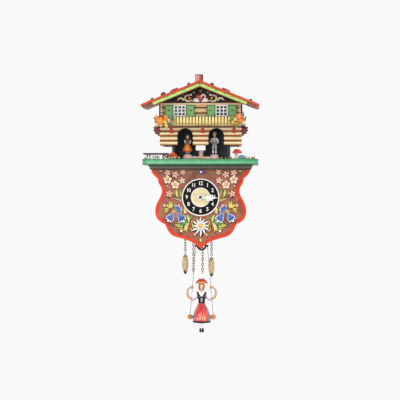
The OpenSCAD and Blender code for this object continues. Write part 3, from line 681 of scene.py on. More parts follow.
def rose(clay, x, z, r):
    """Five round cream petals round a tan heart with brown dots."""
    for k in range(5):
        a = 90 + 72 * k
        across, up = polar(0.35 * r, a)
        stroke(clay, x, z, a, r * 1.06, r * 0.8, "cream", "petal", 0, 2, 0.3)
        pale = "white" if k % 2 else "pink"
        stroke(clay, x + across, z + up, a, r * 0.56, r * 0.4, pale, "petal", 0, 5, 0.2)
    spot(clay, x, z, r * 0.36, "tan", 7, 0.3)
    for k in range(5):
        across, up = polar(0.4 * r, 54 + 72 * k)
        spot(clay, x + across, z + up, r * 0.09, "brown", 8, 0.15)


def blossom(clay, x, z, r, colour, start):
    """Five loose petals, each with a pale stroke down its middle."""
    for a in range(start, start + 360, 72):
        across, up = polar(0.4 * r, a)
        stroke(clay, x, z, a, r * 1.06, r * 0.56, colour, "petal", 0, 3, 0.25)
        stroke(clay, x + across, z + up, a, r * 0.55, r * 0.2, "cream", "petal", 0, 6, 0.14)
    spot(clay, x, z, r * 0.2, "tan", 7, 0.2)


def gentian(clay, x, z, degrees, size, spread):
    """A bell of slim blue petals edged in white, opening at an angle, with dark gaps."""
    for k in (-1, 0, 1):
        a = degrees + spread * k
        stroke(clay, x, z, a, size * (1.0 if k else 1.1), size * 0.32, "white", "petal", 0, 2, 0.22)
        stroke(clay, x, z, a, size * 0.93, size * 0.23, "blue", "petal", 0, 5, 0.25)
        stroke(clay, x, z, a + 4, size * 0.62, size * 0.07, "sky", "line", 0, 8, 0.12)
    for k in (-0.5, 0.5):
        stroke(clay, x, z, degrees + spread * k, size * 0.84, size * 0.13, "navy", "leaf", 0, 8, 0.12)


def shield_flowers():
    """The painting on the shield, given for its right half and mirrored."""
    clay = Clay()

    def strokes(*rows):
        """Each row holds what stroke() takes: x, z, degrees, length, width, colour and so on."""
        for row in rows:
            stroke(clay, *row)

    # Top: comma leaf, small pink blossoms and a green sprig beside the stud
    strokes((41.5, -51.4, 12, 5.0, 1.1, "lime", "comma", 0.6),
            (45.5, -51.0, 190, 4.0, 0.8, "pink", "comma", -0.5, 2))
    blossom(clay, 36.6, -52.6, 3.5, "pink", 70)
    blossom(clay, 28.0, -54.6, 3.7, "pink", 110)
    blossom(clay, 19.6, -52.0, 3.1, "pink", 50)
    strokes((14.6, -51.0, 200, 6.4, 0.75, "lime", "comma", 1.0, 3, 0.18),
            (14.4, -52.0, 214, 5.0, 0.75, "olive", "comma", -0.9, 3, 0.18),
            (11.8, -52.4, 160, 3.6, 0.75, "lime", "comma", 0.5, 3, 0.18),
            (9.4, -53.4, 20, 3.2, 0.75, "leaf", "comma", -0.4, 3, 0.18))
    # Black shadows that set the flowers off
    for x, z, a, n in ((30.2, -53.0, 300, 6.0), (30.8, -60.6, 20, 2.4), (23.8, -70.5, 250, 4.5),
                       (33.0, -81.5, 20, 4.5), (31.8, -88.5, 100, 4.0), (24.5, -99.5, 250, 6.0),
                       (20.2, -112.0, 200, 6.0), (17.6, -97.0, 320, 4.0), (12.5, -118.5, 60, 5.0),
                       (34.5, -98.8, 215, 4.0)):
        stroke(clay, x, z, a, n, 1.0, "black", "leaf", 0.4, 0, 0.2)
    # Two roses and the blossoms beside them
    rose(clay, 36.4, -60.2, 4.5)
    rose(clay, 28.0, -65.8, 4.5)
    blossom(clay, 20.4, -61.2, 3.4, "cream", 80)
    blossom(clay, 34.8, -75.6, 3.6, "pink", 100)
    # A loose petal, and broad leaves under the roses
    strokes((35.6, -66.2, 330, 3.4, 1.4, "pink", "petal"),
            (29.6, -70.6, 262, 9.0, 2.6, "olive", "leaf", 0.8),
            (23.6, -69.8, 258, 10.5, 2.8, "leaf", "leaf", -1.0),
            (26.8, -70.6, 262, 9.5, 2.6, "lime", "leaf", 0.4),
            (24.2, -71.5, 256, 8.5, 1.1, "yellow", "leaf", -0.8),
            (30.4, -71.5, 264, 7.0, 0.8, "tan", "leaf", 0.7, 3),
            (27.2, -72.2, 262, 7.0, 0.7, "cream", "leaf", 0.3, 3),
            (21.0, -84.4, 20, 5.5, 1.1, "cream", "comma", 0.6, 3),
            (21.0, -84.6, 40, 6.0, 1.1, "yellow", "comma", 0.6, 3),
            (24.4, -82.4, 8, 6.8, 1.1, "cream", "comma", 0.6, 3),
            (21.5, -83.8, 62, 5.0, 1.1, "lime", "comma", 0.6, 3))
    # Fan of leaves and a bud at the widest part
    for a, n, c in ((70, 7.4, "olive"), (94, 8.2, "lime"), (120, 7.8, "yellow"), (46, 5.8, "yellow"),
                    (146, 6.0, "lime")):
        stroke(clay, 34.6, -91.4, a, n, 1.9, c, "leaf", 0.3, 2)
        stroke(clay, 34.6, -91.2, a, n * 0.7, 0.5, "yellow", "leaf", 0.2, 5, 0.15)
    strokes((39.0, -90.4, 60, 3.6, 2.8, "pink", "petal", 0, 3, 0.35),
            (39.2, -90.0, 66, 3.0, 1.2, "cream", "petal", 0, 6, 0.2),
            (34.8, -92.4, 352, 5.6, 1.6, "yellow", "leaf", 0.4, 2),
            (35.0, -93.8, 332, 6.2, 1.8, "lime", "leaf", 0.5, 2),
            (38.0, -92.6, 20, 3.0, 0.8, "leaf", "leaf", 0.3, 2))
    # Gentians, and the leaves where they meet
    gentian(clay, 27.4, -94.8, 118, 7.6, 30)
    gentian(clay, 27.2, -94.6, 168, 6.6, 22)
    gentian(clay, 29.4, -96.6, 305, 11.4, 18)
    gentian(clay, 26.0, -96.4, 232, 12.4, 17)
    for a, c in ((20, "yellow"), (350, "cream"), (200, "amber"), (60, "lime")):
        stroke(clay, 28.0, -95.6, a, 4.6, 1.1, c, "comma", 0.4, 9)
    strokes((18.0, -97.0, 94, 7.0, 3.4, "lime", "leaf", 0.4),
            (18.2, -96.6, 94, 5.6, 1.3, "yellow", "leaf", 0.3, 4),
            (19.0, -97.6, 140, 4.6, 1.4, "cream", "leaf", 0.3, 3))
    # Leaf spray and bud above the lower lobe
    for x, z, a, n, w, c, b in (
            (12.6, -107.4, 72, 9.4, 3.0, "lime", 0.8), (11.6, -104.0, 112, 5.4, 2.0, "leaf", 0.5),
            (13.2, -106.8, 34, 8.4, 2.4, "leaf", -0.8), (13.4, -106.6, 310, 8.6, 2.0, "teal", 0.8),
            (12.6, -107.0, 284, 11.4, 2.4, "yellow", 1.6), (14.8, -106.8, 326, 12.6, 2.2, "leaf", 1.0),
            (18.4, -112.4, 10, 10.4, 3.6, "lime", 0.9), (19.2, -112.0, 14, 8.8, 1.5, "leaf", 0.8),
            (10.2, -107.4, 256, 8.4, 1.8, "lime", -0.9), (15.6, -112.0, 292, 5.4, 1.4, "yellow", 0.6)):
        stroke(clay, x, z, a, n, w, c, "leaf", b, 2)
    for x, z, a, n, c in ((14.4, -108.0, 300, 9.6, "cream"), (9.6, -104.6, 262, 6.0, "lime"),
                          (16.8, -103.6, 60, 5.6, "cream"), (20.0, -113.8, 356, 7.4, "yellow"),
                          (11.0, -112.6, 250, 6.4, "yellow"), (22.6, -109.4, 30, 5.0, "lime")):
        stroke(clay, x, z, a, n, 1.2, c, "comma", 0.5, 3, 0.2)
    for x, z, a, n in ((15.0, -108.6, 318, 8.0), (11.6, -109.8, 262, 6.4), (19.4, -110.6, 24, 6.0),
                       (9.8, -103.6, 300, 4.6)):
        stroke(clay, x, z, a, n, 0.9, "black", "leaf", 0.5, 4, 0.16)
    strokes((13.0, -105.8, 68, 5.4, 0.8, "yellow", "leaf", 0.3, 5, 0.15),
            (20.6, -118.4, 70, 3.6, 3.2, "cream", "petal", 0, 3, 0.35),
            (20.8, -117.8, 72, 2.4, 1.4, "white", "petal", 0, 6, 0.2),
            (18.4, -113.6, 290, 4.4, 1.0, "leaf", "leaf", 0.4, 2),
            # Buds under the edelweiss, and the leaf at the tip
            (5.2, -118.4, 300, 4.6, 2.3, "tan", "petal", 0, 2, 0.3),
            (5.4, -118.8, 300, 3.8, 1.0, "cream", "petal", 0, 5, 0.2),
            (2.4, -117.6, 285, 3.6, 1.2, "leaf", "leaf", 0.2),
            (0.2, -124.6, 268, 4.4, 1.3, "yellow", "leaf", 0.5, 2),
            (0.9, -124.2, 300, 2.6, 0.8, "olive", "leaf", 0.2))
    clay.piece("shield_flowers", "house")


def edelweiss():
    """The white flower in the middle, with a gold heart and longer petals below."""
    clay = Clay()
    z = -110.8
    for k in range(12):
        a = 90 + 30 * k
        long = (10.0 if k % 2 == 0 else 8.6) + 2.4 * max(0.0, -polar(1, a)[1])
        over = 0.05 * (k % 2)
        clay.add(dab(long * 1.05, 3.8, 0.2, "leaf"), "black", on_front(0.3, z - 0.4, FACE - 0.02, a + 5))
        clay.add(dab(long, 2.15, 0.34, "leaf", 0.3), "white", on_front(0, z, FACE - 0.1 - over, a))
        clay.add(dab(long * 0.62, 0.42, 0.1, "line"), "grey", on_front(0, z, FACE - 0.42 - over, a + 1))
    clay.add(dab(5.2, 5.2, 0.5, "round"), "amber", on_front(-2.6, z, FACE - 0.4))
    for across, up in [polar(1.5, 60 * k) for k in range(6)] + [(0, 0)]:
        clay.add(dab(1.3, 1.3, 0.35, "round"), "yellow", on_front(across - 0.65, z + up, FACE - 0.75))
    clay.piece("shield_edelweiss", "house")


def shield_stud():
    """Blue rosette with a domed white stud, over the dial."""
    clay = Clay()
    clay.add(dab(5.6, 5.4, 0.25, "round"), "navy", on_front(-2.4, -51.6, FACE - 0.02))
    clay.add(dab(4.4, 4.2, 0.25, "round"), "blue", on_front(-1.8, -51.6, FACE - 0.12))
    clay.add(dab(2.6, 2.6, 0.9, "round"), "white", on_front(-0.9, -51.5, FACE - 0.2))
    clay.piece("shield_stud", "house")


shield_flowers()
edelweiss()
shield_stud()


# ---------------------------------------------------------------- dial


def dial():
    """Dished dial: white rim, black chapter ring, thin white ring and ivory centre."""
    low, high = box_mm("dial_plate")
    outer, front, bore, sides = (high.x - low.x) / 2, high.y - low.y, 3.1, 96
    rim, sunk = outer - 1.35, front - 0.9
    place = shift((low.x + high.x) / 2, high.y, (low.z + high.z) / 2) @ UPRIGHT
    clay = Clay()
    for colour, profile in (
            ("white", [(outer, 0), (outer, front - 0.7), (outer - 0.15, front - 0.2), (outer - 0.5, front),
                       (outer - 1.0, front - 0.1), (rim, sunk)]),
            ("black", [(rim, sunk), (10.7, sunk)]),
            ("white", [(10.7, sunk), (10.5, front - 0.45), (10.2, front - 0.3), (9.9, front - 0.45)]),
            ("ivory", [(9.9, front - 0.45), (9.3, front - 0.35), (6.0, front - 0.3), (bore, front - 0.4)]),
            ("white", [(bore, front - 0.4), (bore, 0), (outer, 0)])):
        rings = [[polar(r, 360 * i / sides) + (h,) for i in range(sides)] for r, h in profile]
        clay.add(skin_rings(rings, caps=False), colour, place)
    materials = dict(PALETTE, black=moulded("dial_black", srgb(14, 13, 15), 0.45, specular=0.15),
                     ivory=moulded("dial_ivory", srgb(224, 207, 160), 0.42))
    clay.piece("dial_face", "house", ("dial_plate",), 35, materials)


def numerals():
    """White Arabic numerals, upright round the dial."""
    low, high = box_mm("dial_plate")
    radius, stand_off, narrowing = 15.2, 2.27, 0.92
    for hour in range(1, 13):
        text = bpy.data.curves.new(f"numeral_text_{hour}", "FONT")
        text.body = str(hour)
        text.size = 5.9 * MM
        text.align_x, text.align_y = "CENTER", "CENTER"
        text.extrude = 0.12 * MM
        text.bevel_depth = 0.05 * MM
        text.offset = 0.05 * MM
        text.space_character = 0.86
        text.resolution_u = 4
        holder = bpy.data.objects.new(f"numeral_curve_{hour}", text)
        bpy.context.scene.collection.objects.link(holder)
        bpy.context.view_layer.update()
        mesh = bpy.data.meshes.new_from_object(holder.evaluated_get(bpy.context.evaluated_depsgraph_get()))
        across, up = polar(radius, 90 - 30 * hour)
        seat = Vector(((low.x + high.x) / 2 + across, FACE - stand_off, (low.z + high.z) / 2 + up)) * MM
        mesh.transform(shift(*seat) @ UPRIGHT @ Matrix.Scale(narrowing, 4, (1, 0, 0)))
        mesh.materials.clear()
        mesh.materials.append(PALETTE["white"])
        bpy.data.objects.remove(holder)
        bpy.data.curves.remove(text)
        place_piece(f"numeral_{hour}", mesh, "house")


dial()
numerals()


# ---------------------------------------------------------------- gable, shutters and doorways


def gable_painting():
    """Heart, scrolls and leaves on the gable."""
    clay = Clay()

    def marks(add, *rows):
        """Each row: x, z, degrees, length, width, colour, profile, bend, layer and height."""
        for x, z, degrees, length, width, colour, profile, bend, layer, height in rows:
            add(dab(length, width, height, profile, bend), colour,
                on_front(x, z, GABLE_FACE - 0.05 * layer, degrees))

    def scroll(centre_x, centre_z, wide, tall, start, end, steps, thick):
        """A curl of changing thickness. thick gives the radius for a share of the way along it."""
        path = [(centre_x + wide * p.x, GABLE_FACE - 0.08, centre_z + tall * p.z)
                for p in arc((0, 0, 0), 1, start, end, steps)]
        clay.both(tube(path, [thick(i / steps) for i in range(steps + 1)], 8, 0.45), "bone")

    # Heart from two lobes and a tip
    marks(clay.add, (0.2, 25.9, 120, 9.0, 5.4, "crimson", "petal", -0.7, 2, 0.4),
          (0.6, 27.2, 116, 6.4, 2.8, "red", "petal", -0.5, 5, 0.3),
          (0.4, 26.4, 66, 6.4, 3.0, "crimson", "petal", 0.4, 2, 0.3))
    for radius, colour in ((2.6, "pink"), (1.9, "white")):
        lobe = arc((2.9, GABLE_FACE - 0.2, 31.2), radius, 190, -50, 12) + [(0.7, GABLE_FACE - 0.2, 25.4)]
        clay.add(tube(lobe, 0.7, 8, 0.6), colour)
    # Leaves at its foot
    marks(clay.both, (1.4, 25.3, 26, 7.6, 3.2, "white", "leaf", 0.9, 3, 0.35),
          (1.8, 25.2, 8, 8.2, 2.0, "bone", "leaf", 0.7, 2, 0.3))
    # C-scroll rings with an amber heart
    scroll(13.2, 29.6, 4.5, 3.6, 128, -150, 18, lambda t: 0.6 + 1.0 * math.sin(math.pi * t))
    marks(clay.both, (9.2, 32.6, 40, 3.0, 1.8, "bone", "leaf", -0.3, 3, 0.3),
          (10.6, 30.2, 320, 3.6, 2.0, "amber", "leaf", 0.5, 3, 0.3),
          (12.2, 30.6, 20, 2.0, 1.3, "orange", "round", 0, 5, 0.2))
    # Outer arcs, dots and dark leaves
    scroll(22.0, 26.2, 3.3, 3.3, 170, 20, 10, lambda t: 0.5 + 1.0 * math.sin(math.pi * (0.1 + 0.8 * t)))
    marks(clay.both, (18.8, 26.4, 60, 3.6, 1.8, "bone", "leaf", 0.3, 2, 0.22),
          (6.8, 35.9, 0, 1.9, 1.9, "lilac", "round", 0, 2, 0.3),
          (16.6, 34.6, 330, 5.6, 1.5, "maroon", "leaf", 0.4, 1, 0.22),
          (19.6, 31.4, 320, 4.6, 1.3, "brown", "leaf", 0.3, 1, 0.22),
          (28.2, 26.6, 150, 3.6, 1.6, "crimson", "leaf", 0.2, 1, 0.22),
          (32.0, 25.6, 10, 3.8, 1.0, "brown", "leaf", 0.2, 1, 0.22))
    marks(clay.add, *((0.0, 35.8, a, 4.0, 1.5, "olive", "leaf", 0, 1, 0.2) for a in (60, 90, 120)))
    clay.piece("gable_painting", "house")


def windows():
    """White frames with three by three panes of dark glass a little behind the bars."""
    low, high = box_mm("windows")
    wide, across, up, bar = 14.2, 4.13, 3.67, 0.7
    left, mid_z = high.x - wide, (low.z + high.z) / 2
    clay = Clay()
    glass = block((left + 0.3, low.y + 0.55, low.z + 0.3), (high.x - 0.3, high.y, high.z - 0.3), 0.1)
    clay.both(glass, "glass")
    for k in (-1.5, -0.5, 0.5, 1.5):
        x, z = left + wide / 2 + k * across, mid_z + k * up
        x0, z0 = (left, low.z) if k < -1 else (x - bar, z - bar * 0.8)
        x1, z1 = (high.x, high.z) if k > 1 else (x + bar, z + bar * 0.8)
        clay.both(block((x0, low.y, low.z), (x1, high.y - 0.2, high.z), 0.2), "white")
        clay.both(block((left, low.y + 0.02, z0), (high.x, high.y - 0.25, z1), 0.2), "white")
    materials = {"white": paint("window_white", srgb(255, 254, 253), 0.34, 0.02),
                 "glass": moulded("window_glass", srgb(10, 10, 13), 0.12, specular=0.4)}
    clay.piece("window_frames", "house", ("windows",), 30, materials)


def shutter_hearts():
    """A small carved heart in the middle of each shutter."""
    low, high = box_mm("shutters")
    clay = Clay()
    for x in (high.x - 4.6, 10.6):
        for degrees in (128, 52):
            clay.both(dab(2.2, 1.5, 0.3, "petal"), "brown", on_front(x, 15.2, low.y + 0.3, degrees))
        clay.both(dab(1.0, 1.0, 0.5, "round"), "tan", on_front(x - 0.5, 16.2, low.y + 0.2))
    clay.piece("shutter_hearts", "house")


def door_arches():
    """Black edging round both doorways."""
    inner, outer, spring, leg, front, back = 7.35, 8.5, -11.9, 10.4, -54.7, -49
    # Each station: shares of the radius across and up, and how far it drops below the spring of the arch
    stations = [(1, 0, leg)] + [polar(1, a) + (0,) for a in range(0, 181, 9)] + [(-1, 0, leg)]
    section = ((inner, back), (inner, front), (outer, front), (outer, back))
    clay = Clay()
    for middle in (-17.1, 17.1):
        clay.add(skin_rings([[(middle + across * r, y, spring + up * r - drop) for r, y in section]
                             for across, up, drop in stations]), "black")
    clay.piece("door_arches", "house", sharp=30)


def log_ends():
    """Round log ends that show at both edges of the upper wall, beside dark maroon strips of painted shade.
    """
    clay = Clay()
    profile = [(0.2, -0.1), (1.42, 0.0), (1.42, 0.7), (1.2, 0.95), (0.9, 0.9), (0.6, 1.0), (0.05, 0.96)]
    end = lathe(profile, 18)
    for k in range(7):
        clay.both(end, "pink", shift(43.2, -54.2, 3.2 + 3.0 * k) @ UPRIGHT)
    # Dark maroon strips at the wall's edges: painted shade where the side walls turn away.
    clay.both(block((44.7, -54.9, 1.2), (45.9, -50.2, 24.0), 0.2), "maroon")
    clay.piece("log_ends", "house")


gable_painting()
windows()
shutter_hearts()
door_arches()
log_ends()


# ---------------------------------------------------------------- roof


PITCH = 22.0
ROOF_RED = srgb(216, 78, 54)
ROOF = {
    "a": paint("roof_red_a", ROOF_RED, 0.45, 0.15, 220, 0.05, 0.35, srgb(150, 44, 36), 0.25),
    "b": paint("roof_red_b", shade(ROOF_RED, 0.85), 0.45, 0.15, 220, 0.05, 0.35, srgb(140, 40, 34), 0.25),
    "c": paint("roof_red_c", shade(ROOF_RED, 1.12), 0.45, 0.15, 220, 0.05, 0.35, srgb(160, 52, 40), 0.25),
    "under": paint("roof_under", srgb(156, 84, 58), 0.5, 0.2, 160, 0.1),
}


def sloped(across):
    """How far down the slope a distance across comes to."""
    return across / math.cos(math.radians(PITCH))


def roof_place(side, along, depth, height=0.0):
    """A place on the roof: along is the distance down the slope from the ridge."""
    ridge = box_mm("roof_right")[1].z - 0.4
    place = shift(0, depth, ridge) @ spin("Y", PITCH) @ shift(along, 0, height)
    return place if side > 0 else MIRROR @ place


def roof(side, node):
    """A roof board under overlapping courses of split shingles."""
    rng = random.Random(11 + side)
    low, high = box_mm("roof_right")
    depth, slope, courses, in_a_course = high.y - low.y, sloped(high.x), 6, 11
    step, margin = slope / courses, 0.15
    place = roof_place(side, 0, low.y)
    clay = Clay()
    clay.add(block((0.6, 0.6, -3.05), (slope - 0.8, depth - 0.6, -1.3), 0.3), "under", place)
    clay.add(block((0.6, 0.05, -3.05), (slope - 0.5, 0.75, -1.1), 0.2), "b", place)
    for c in range(courses):
        y = margin
        while y < depth - 0.5:
            end = min(y + depth / in_a_course * rng.uniform(0.8, 1.2), depth - margin)
            if depth - end < 2.5:
                end = depth - margin
            start = c * step + (0.55 if c == 0 else -1.2)
            stop = min((c + 1) * step + rng.uniform(-0.3, 0.5), slope - 0.1)
            lift = rng.uniform(-0.12, 0.05) - 0.3
            shingle = block((start, y + 0.1, lift - 1.35), (stop, end - 0.1, lift), 0.25)
            tilt = shift(start, 0, 0) @ spin("Y", 1.6 if c else 0.6) @ shift(-start, 0, 0)
            clay.add(shingle, rng.choice("abc"), place @ tilt)
            y = end
    clay.piece(node + "_shingles", "house", (node,), 30, ROOF)


def bargeboards():
    """Lime boards with a rounded upper end and painted leaf marks."""
    rng = random.Random(5)
    slope, top, middle, back, front = sloped(52), -0.9, -2.65, -77.0, -79.35
    place = shift(0, 0, 49.2 - sloped(3.2)) @ spin("Y", PITCH)
    rings = []
    for x, fill in ([(0.9, 0.55), (1.25, 0.8), (2.0, 0.96)] + [(x, 1.0) for x in range(5, 50, 5)]
                    + [(slope - 0.5, 1.0), (slope, 0.8)]):
        half, c = 1.55 * fill, 0.35 * fill
        section = ((back, -half), (back, half), (-79.0, half),
                   (front, half - c), (front, c - half), (-79.0, -half))
        rings.append([(x, y, middle + up) for y, up in section])
    clay = Clay()
    clay.both(skin_rings(rings), "lime_board", place)
    clay.both(block((0.9, -78.4, top - 0.15), (slope - 0.6, back, -0.2), 0.1), "olive", place)
    x = 3.4
    while x < slope - 3:
        tip = place @ on_front(x, top - 1.9 + rng.uniform(-0.5, 0.5), -79.3, rng.choice((25, -30, 150)))
        clay.both(dab(2.6, 0.9, 0.16, "leaf"), rng.choice(("yellow", "leaf")), tip)
        x += rng.uniform(2.2, 3.0)
    lime = paint("barge_lime", srgb(170, 206, 100), 0.38, 0.2, 220, 0.3, 0.35, srgb(112, 168, 62))
    clay.piece("bargeboard_pair", "house", ("bargeboards",), 30, dict(PALETTE, lime_board=lime))


def chimney():
    """Chimney of upright boards with rounded faces and a dark flue."""
    low, high = box_mm("chimney")
    mid, foot = (low + high) / 2, low.z
    clay = Clay()
    clay.add(block((low.x + 0.3, low.y + 0.9, foot), (high.x - 0.3, high.y - 0.3, high.z - 1.1), 0.3), "red")
    clay.add(block((low.x, low.y + 0.6, high.z - 1.3), (high.x, high.y, high.z - 0.1), 0.35), "maroon")
    # The pink on the two left flutes is a painted highlight; the right flute is darker crimson.
    for x, drop, colour in ((low.x + 1.2, 1.3, "pink"), (mid.x - 0.6, 0.6, "pink"),
                            (high.x - 1.5, 0.6, "crimson")):
        clay.add(tube([(x, low.y + 1.0, foot), (x, low.y + 1.0, high.z - drop)], 1.15, 14, 0.7), colour)
    for x in (low.x + 0.25, mid.x - 0.4, high.x - 0.2):
        clay.add(block((x - 0.3, low.y, foot), (x + 0.3, low.y + 1.4, high.z - 0.5), 0.12), "maroon")
    flue = lathe([(0.1, -0.3), (1.9, -0.3), (1.9, 0.35), (1.5, 0.4), (1.4, -0.1), (0.1, -0.1)], 20)
    clay.add(flue, "black", shift(mid.x, mid.y + 0.4, high.z - 0.45))
    clay.piece("chimney_stack", "house", ("chimney",), 35)


def stones():
    """Rough pebbles and two pairs of battens that hold the shingles down."""
    clay = Clay()
    rng = random.Random(3)
    for x, y, r in ((-52, -72, 1.6), (-40, -67, 2.8), (-12, -70, 1.8), (13, -70, 2.0), (55, -66, 1.7),
                    (-44, -30, 2.0), (-22, -24, 1.9), (24, -30, 2.1), (46, -22, 2.0)):
        pebble = ball((r * rng.uniform(0.95, 1.15), r, r * 0.8), 14, 9, 0.28, x)
        clay.add(pebble, rng.choice(("stone_grey", "stone_brown")),
                 roof_place(x, sloped(abs(x)), y, r * 0.45))
    batten = tube([(-4.5, 0, 0.6), (-2, 0.1, 0.75), (1, -0.1, 0.7), (4.5, 0.05, 0.55)],
                  [0.8, 0.95, 0.9, 0.75], 9)
    for side in (-1, 1):
        for y in (-73, -34):
            clay.add(batten, "crimson", roof_place(side, sloped(28), y, 0.1))
    materials = dict(PALETTE, stone_grey=paint("stone_grey", srgb(112, 96, 92), 0.7, 0.35, 600, 0.0),
                     stone_brown=paint("stone_brown", srgb(122, 78, 66), 0.7, 0.35, 600, 0.0))
    clay.piece("roof_pebbles", "house", ("roof_stones",), 60, materials)


roof(-1, "roof_left")
roof(1, "roof_right")
bargeboards()
chimney()
stones()


# ---------------------------------------------------------------- flowers and garden


# Colour of the inner petals, for each colour of outer petal that has its own
INNER = {"orange": "amber", "amber": "cream", "red": "orange", "cream": "yellow", "crimson": "red"}


def flower(clay, place, r, petal, heart, count=5, open_up=0.45):
    """A round flower that faces the -Y side of its place, with inner petals where it is large."""
    for k in range(count):
        seat = place @ spin("Y", 360 * k / count) @ UPRIGHT
        clay.add(dab(r, r * 0.85, r * 0.14, "petal", 0, r * open_up, 0.25), petal, seat)
        if r > 1.7:
            inner = dab(r * 0.7, r * 0.42, r * 0.1, "petal", 0, r * open_up * 0.5, 0.25)
            clay.add(inner, INNER.get(petal, petal), seat @ shift(r * 0.12, 0, r * 0.12))
    clay.add(ball((r * 0.26, r * 0.2, r * 0.26), 12, 7, 0.15, r), heart, place @ shift(0, -r * 0.14, 0))


def leaf(clay, place, degrees, length, width, colour):
    """A cupped leaf that faces the room, at an angle from +X towards +Z."""
    shape = dab(length, width, width * 0.14, "leaf", 0, length * 0.2, 0.35)
    clay.add(shape, colour, shift(*place) @ spin("Y", -degrees) @ UPRIGHT)


def cluster(clay, blooms, leaves):
    """Blooms are (x, y, z, r, petals, heart) and leaves are (x, y, z, degrees, length, width, colour)."""
    rng = random.Random(len(blooms))
    for x, y, z, *rest in leaves:
        leaf(clay, (x, y, z), *rest)
    for x, y, z, r, petals, heart in blooms:
        place = at(x, y, z, rng.uniform(-22, 22), rng.uniform(-18, 18), math.degrees(rng.uniform(0, 1.2)))
        flower(clay, place, r, petals, heart, 5 if r > 2 else 4)


def balcony_flowers():
    """Stems and two clusters of blooms on the rail, with three hanging fuchsias."""
    clay = Clay()
    rng = random.Random(21)
    for side, start, end in ((-1, 29.0, 48.0), (1, 35.0, 48.5)):
        x = start
        while x < end:
            z = rng.uniform(-1.5, 5.5)
            colour = rng.choice(("leaf", "olive", "teal", "leaf"))
            leaf(clay, (side * x, -70.2 - rng.uniform(0, 1), z), -rng.uniform(-160, -20),
                 rng.uniform(4, 6), rng.uniform(1.8, 2.6), colour)
            x += 0.8
        stem = [(side * start, -69.4, 1.5), (side * (start + end) / 2, -69.9, 2.8), (side * end, -69.4, 2.0)]
        clay.add(tube(stem, [1.0, 1.5, 1.0], 8), "olive")
    cluster(clay, (
        (-43.4, -72.4, 3.8, 4.2, "orange", "yellow"), (-37.4, -71.8, 7.2, 2.8, "orange", "amber"),
        (-47.0, -71.4, 7.6, 2.5, "orange", "yellow"), (-38.6, -72.2, 2.4, 2.4, "amber", "yellow"),
        (-33.6, -71.6, 4.4, 2.0, "cream", "amber"), (-41.6, -71.8, 8.8, 1.9, "crimson", "amber"),
        (-30.4, -71.4, 3.8, 1.9, "crimson", "cream"), (-46.6, -72.2, -0.2, 2.2, "amber", "cream"),
        (-42.4, -72.6, -1.2, 1.9, "cream", "amber"), (-36.4, -72.0, -2.0, 1.9, "yellow", "amber"),
        (-29.4, -71.6, 1.6, 1.3, "pink", "red")), (
        (-36.8, -71.2, 3.0, 60, 6.0, 2.4, "teal"), (-34.0, -71.4, 1.0, 20, 5.4, 2.2, "teal"),
        (-32.6, -71.0, 4.0, 100, 5.0, 2.0, "teal"), (-38.0, -71.8, -3.2, 70, 5.6, 2.0, "yellow"),
        (-30.4, -71.0, 6.4, 120, 4.4, 1.8, "teal"), (-48.0, -71.2, 3.0, 110, 3.4, 1.6, "leaf"),
        (-46.0, -71.6, -3.2, 160, 4.0, 1.6, "leaf")))
    cluster(clay, (
        (42.6, -72.2, 8.6, 3.4, "orange", "cream"), (38.4, -71.8, 5.2, 2.8, "amber", "cream"),
        (43.6, -72.4, 3.8, 2.8, "orange", "yellow"), (36.0, -71.6, 2.0, 2.0, "yellow", "amber"),
        (47.4, -71.6, 1.8, 2.2, "cream", "amber"), (40.0, -72.2, 0.6, 2.0, "orange", "yellow"),
        (46.8, -71.4, 6.0, 1.8, "red", "amber"), (39.4, -71.4, 10.2, 1.8, "red", "yellow"),
        (44.0, -72.2, -0.4, 1.6, "lilac", "amber")), (
        (45.6, -71.0, 8.4, 75, 5.8, 2.4, "teal"), (47.6, -70.8, 8.0, 100, 4.8, 2.2, "teal"),
        (48.0, -71.0, 4.6, 60, 4.8, 2.0, "leaf"), (45.8, -71.2, 3.0, 40, 4.4, 1.8, "leaf"),
        (35.0, -71.2, 4.0, 140, 4.0, 1.6, "leaf"), (47.0, -71.4, -1.8, 30, 3.6, 1.5, "teal"),
        (41.8, -71.2, -2.4, 190, 4.0, 1.5, "leaf")))
    # Fuchsias: stalk, flared petals, bell and stamens
    y = -71.2
    bell = lathe([(0.3, -7.6), (2.0, -6.2), (1.7, -3.8), (1.1, -2.0), (0.5, -0.6)], 14)
    for x in (-31.4, 3.0, 37.2):
        stalk = [(x, y + 1.0, 1.0), (x, y - 0.2, 0.4), (x, y - 0.3, -1.6), (x, y, -3.0)]
        clay.add(tube(stalk, 0.35, 7), "leaf")
        for k in range(6):
            place = shift(x, y, -2.6) @ spin("Z", 60 * k)
            petal = dab(7.4, 3.0, 0.4, "petal", 0, 2.2)
            clay.add(petal, "crimson" if k % 2 else "red", place @ spin("Y", 84))
            clay.add(dab(3.8, 1.8, 0.3, "leaf", 0, 1.6), "red", place @ spin("Y", 30 * (k % 2) + 40))
        clay.add(bell, "crimson", shift(x, y, -1.6))
        for k in (-1, 0, 1):
            clay.add(tube([(x + 0.5 * k, y, -8.0), (x + 0.6 * k, y - 0.1, -9.9)], [0.16, 0.26], 6), "amber")
    clay.piece("balcony_blooms", "house", ("balcony_flowers",), 60)


def on_dome(centre, radii, around, down):
    """The outward direction at a place on a dome, and the place. around and down are in radians."""
    d = Vector((math.cos(around) * math.sin(down), math.sin(around) * math.sin(down), math.cos(down)))
    return d, [c + k * r for c, k, r in zip(centre, d, radii)]


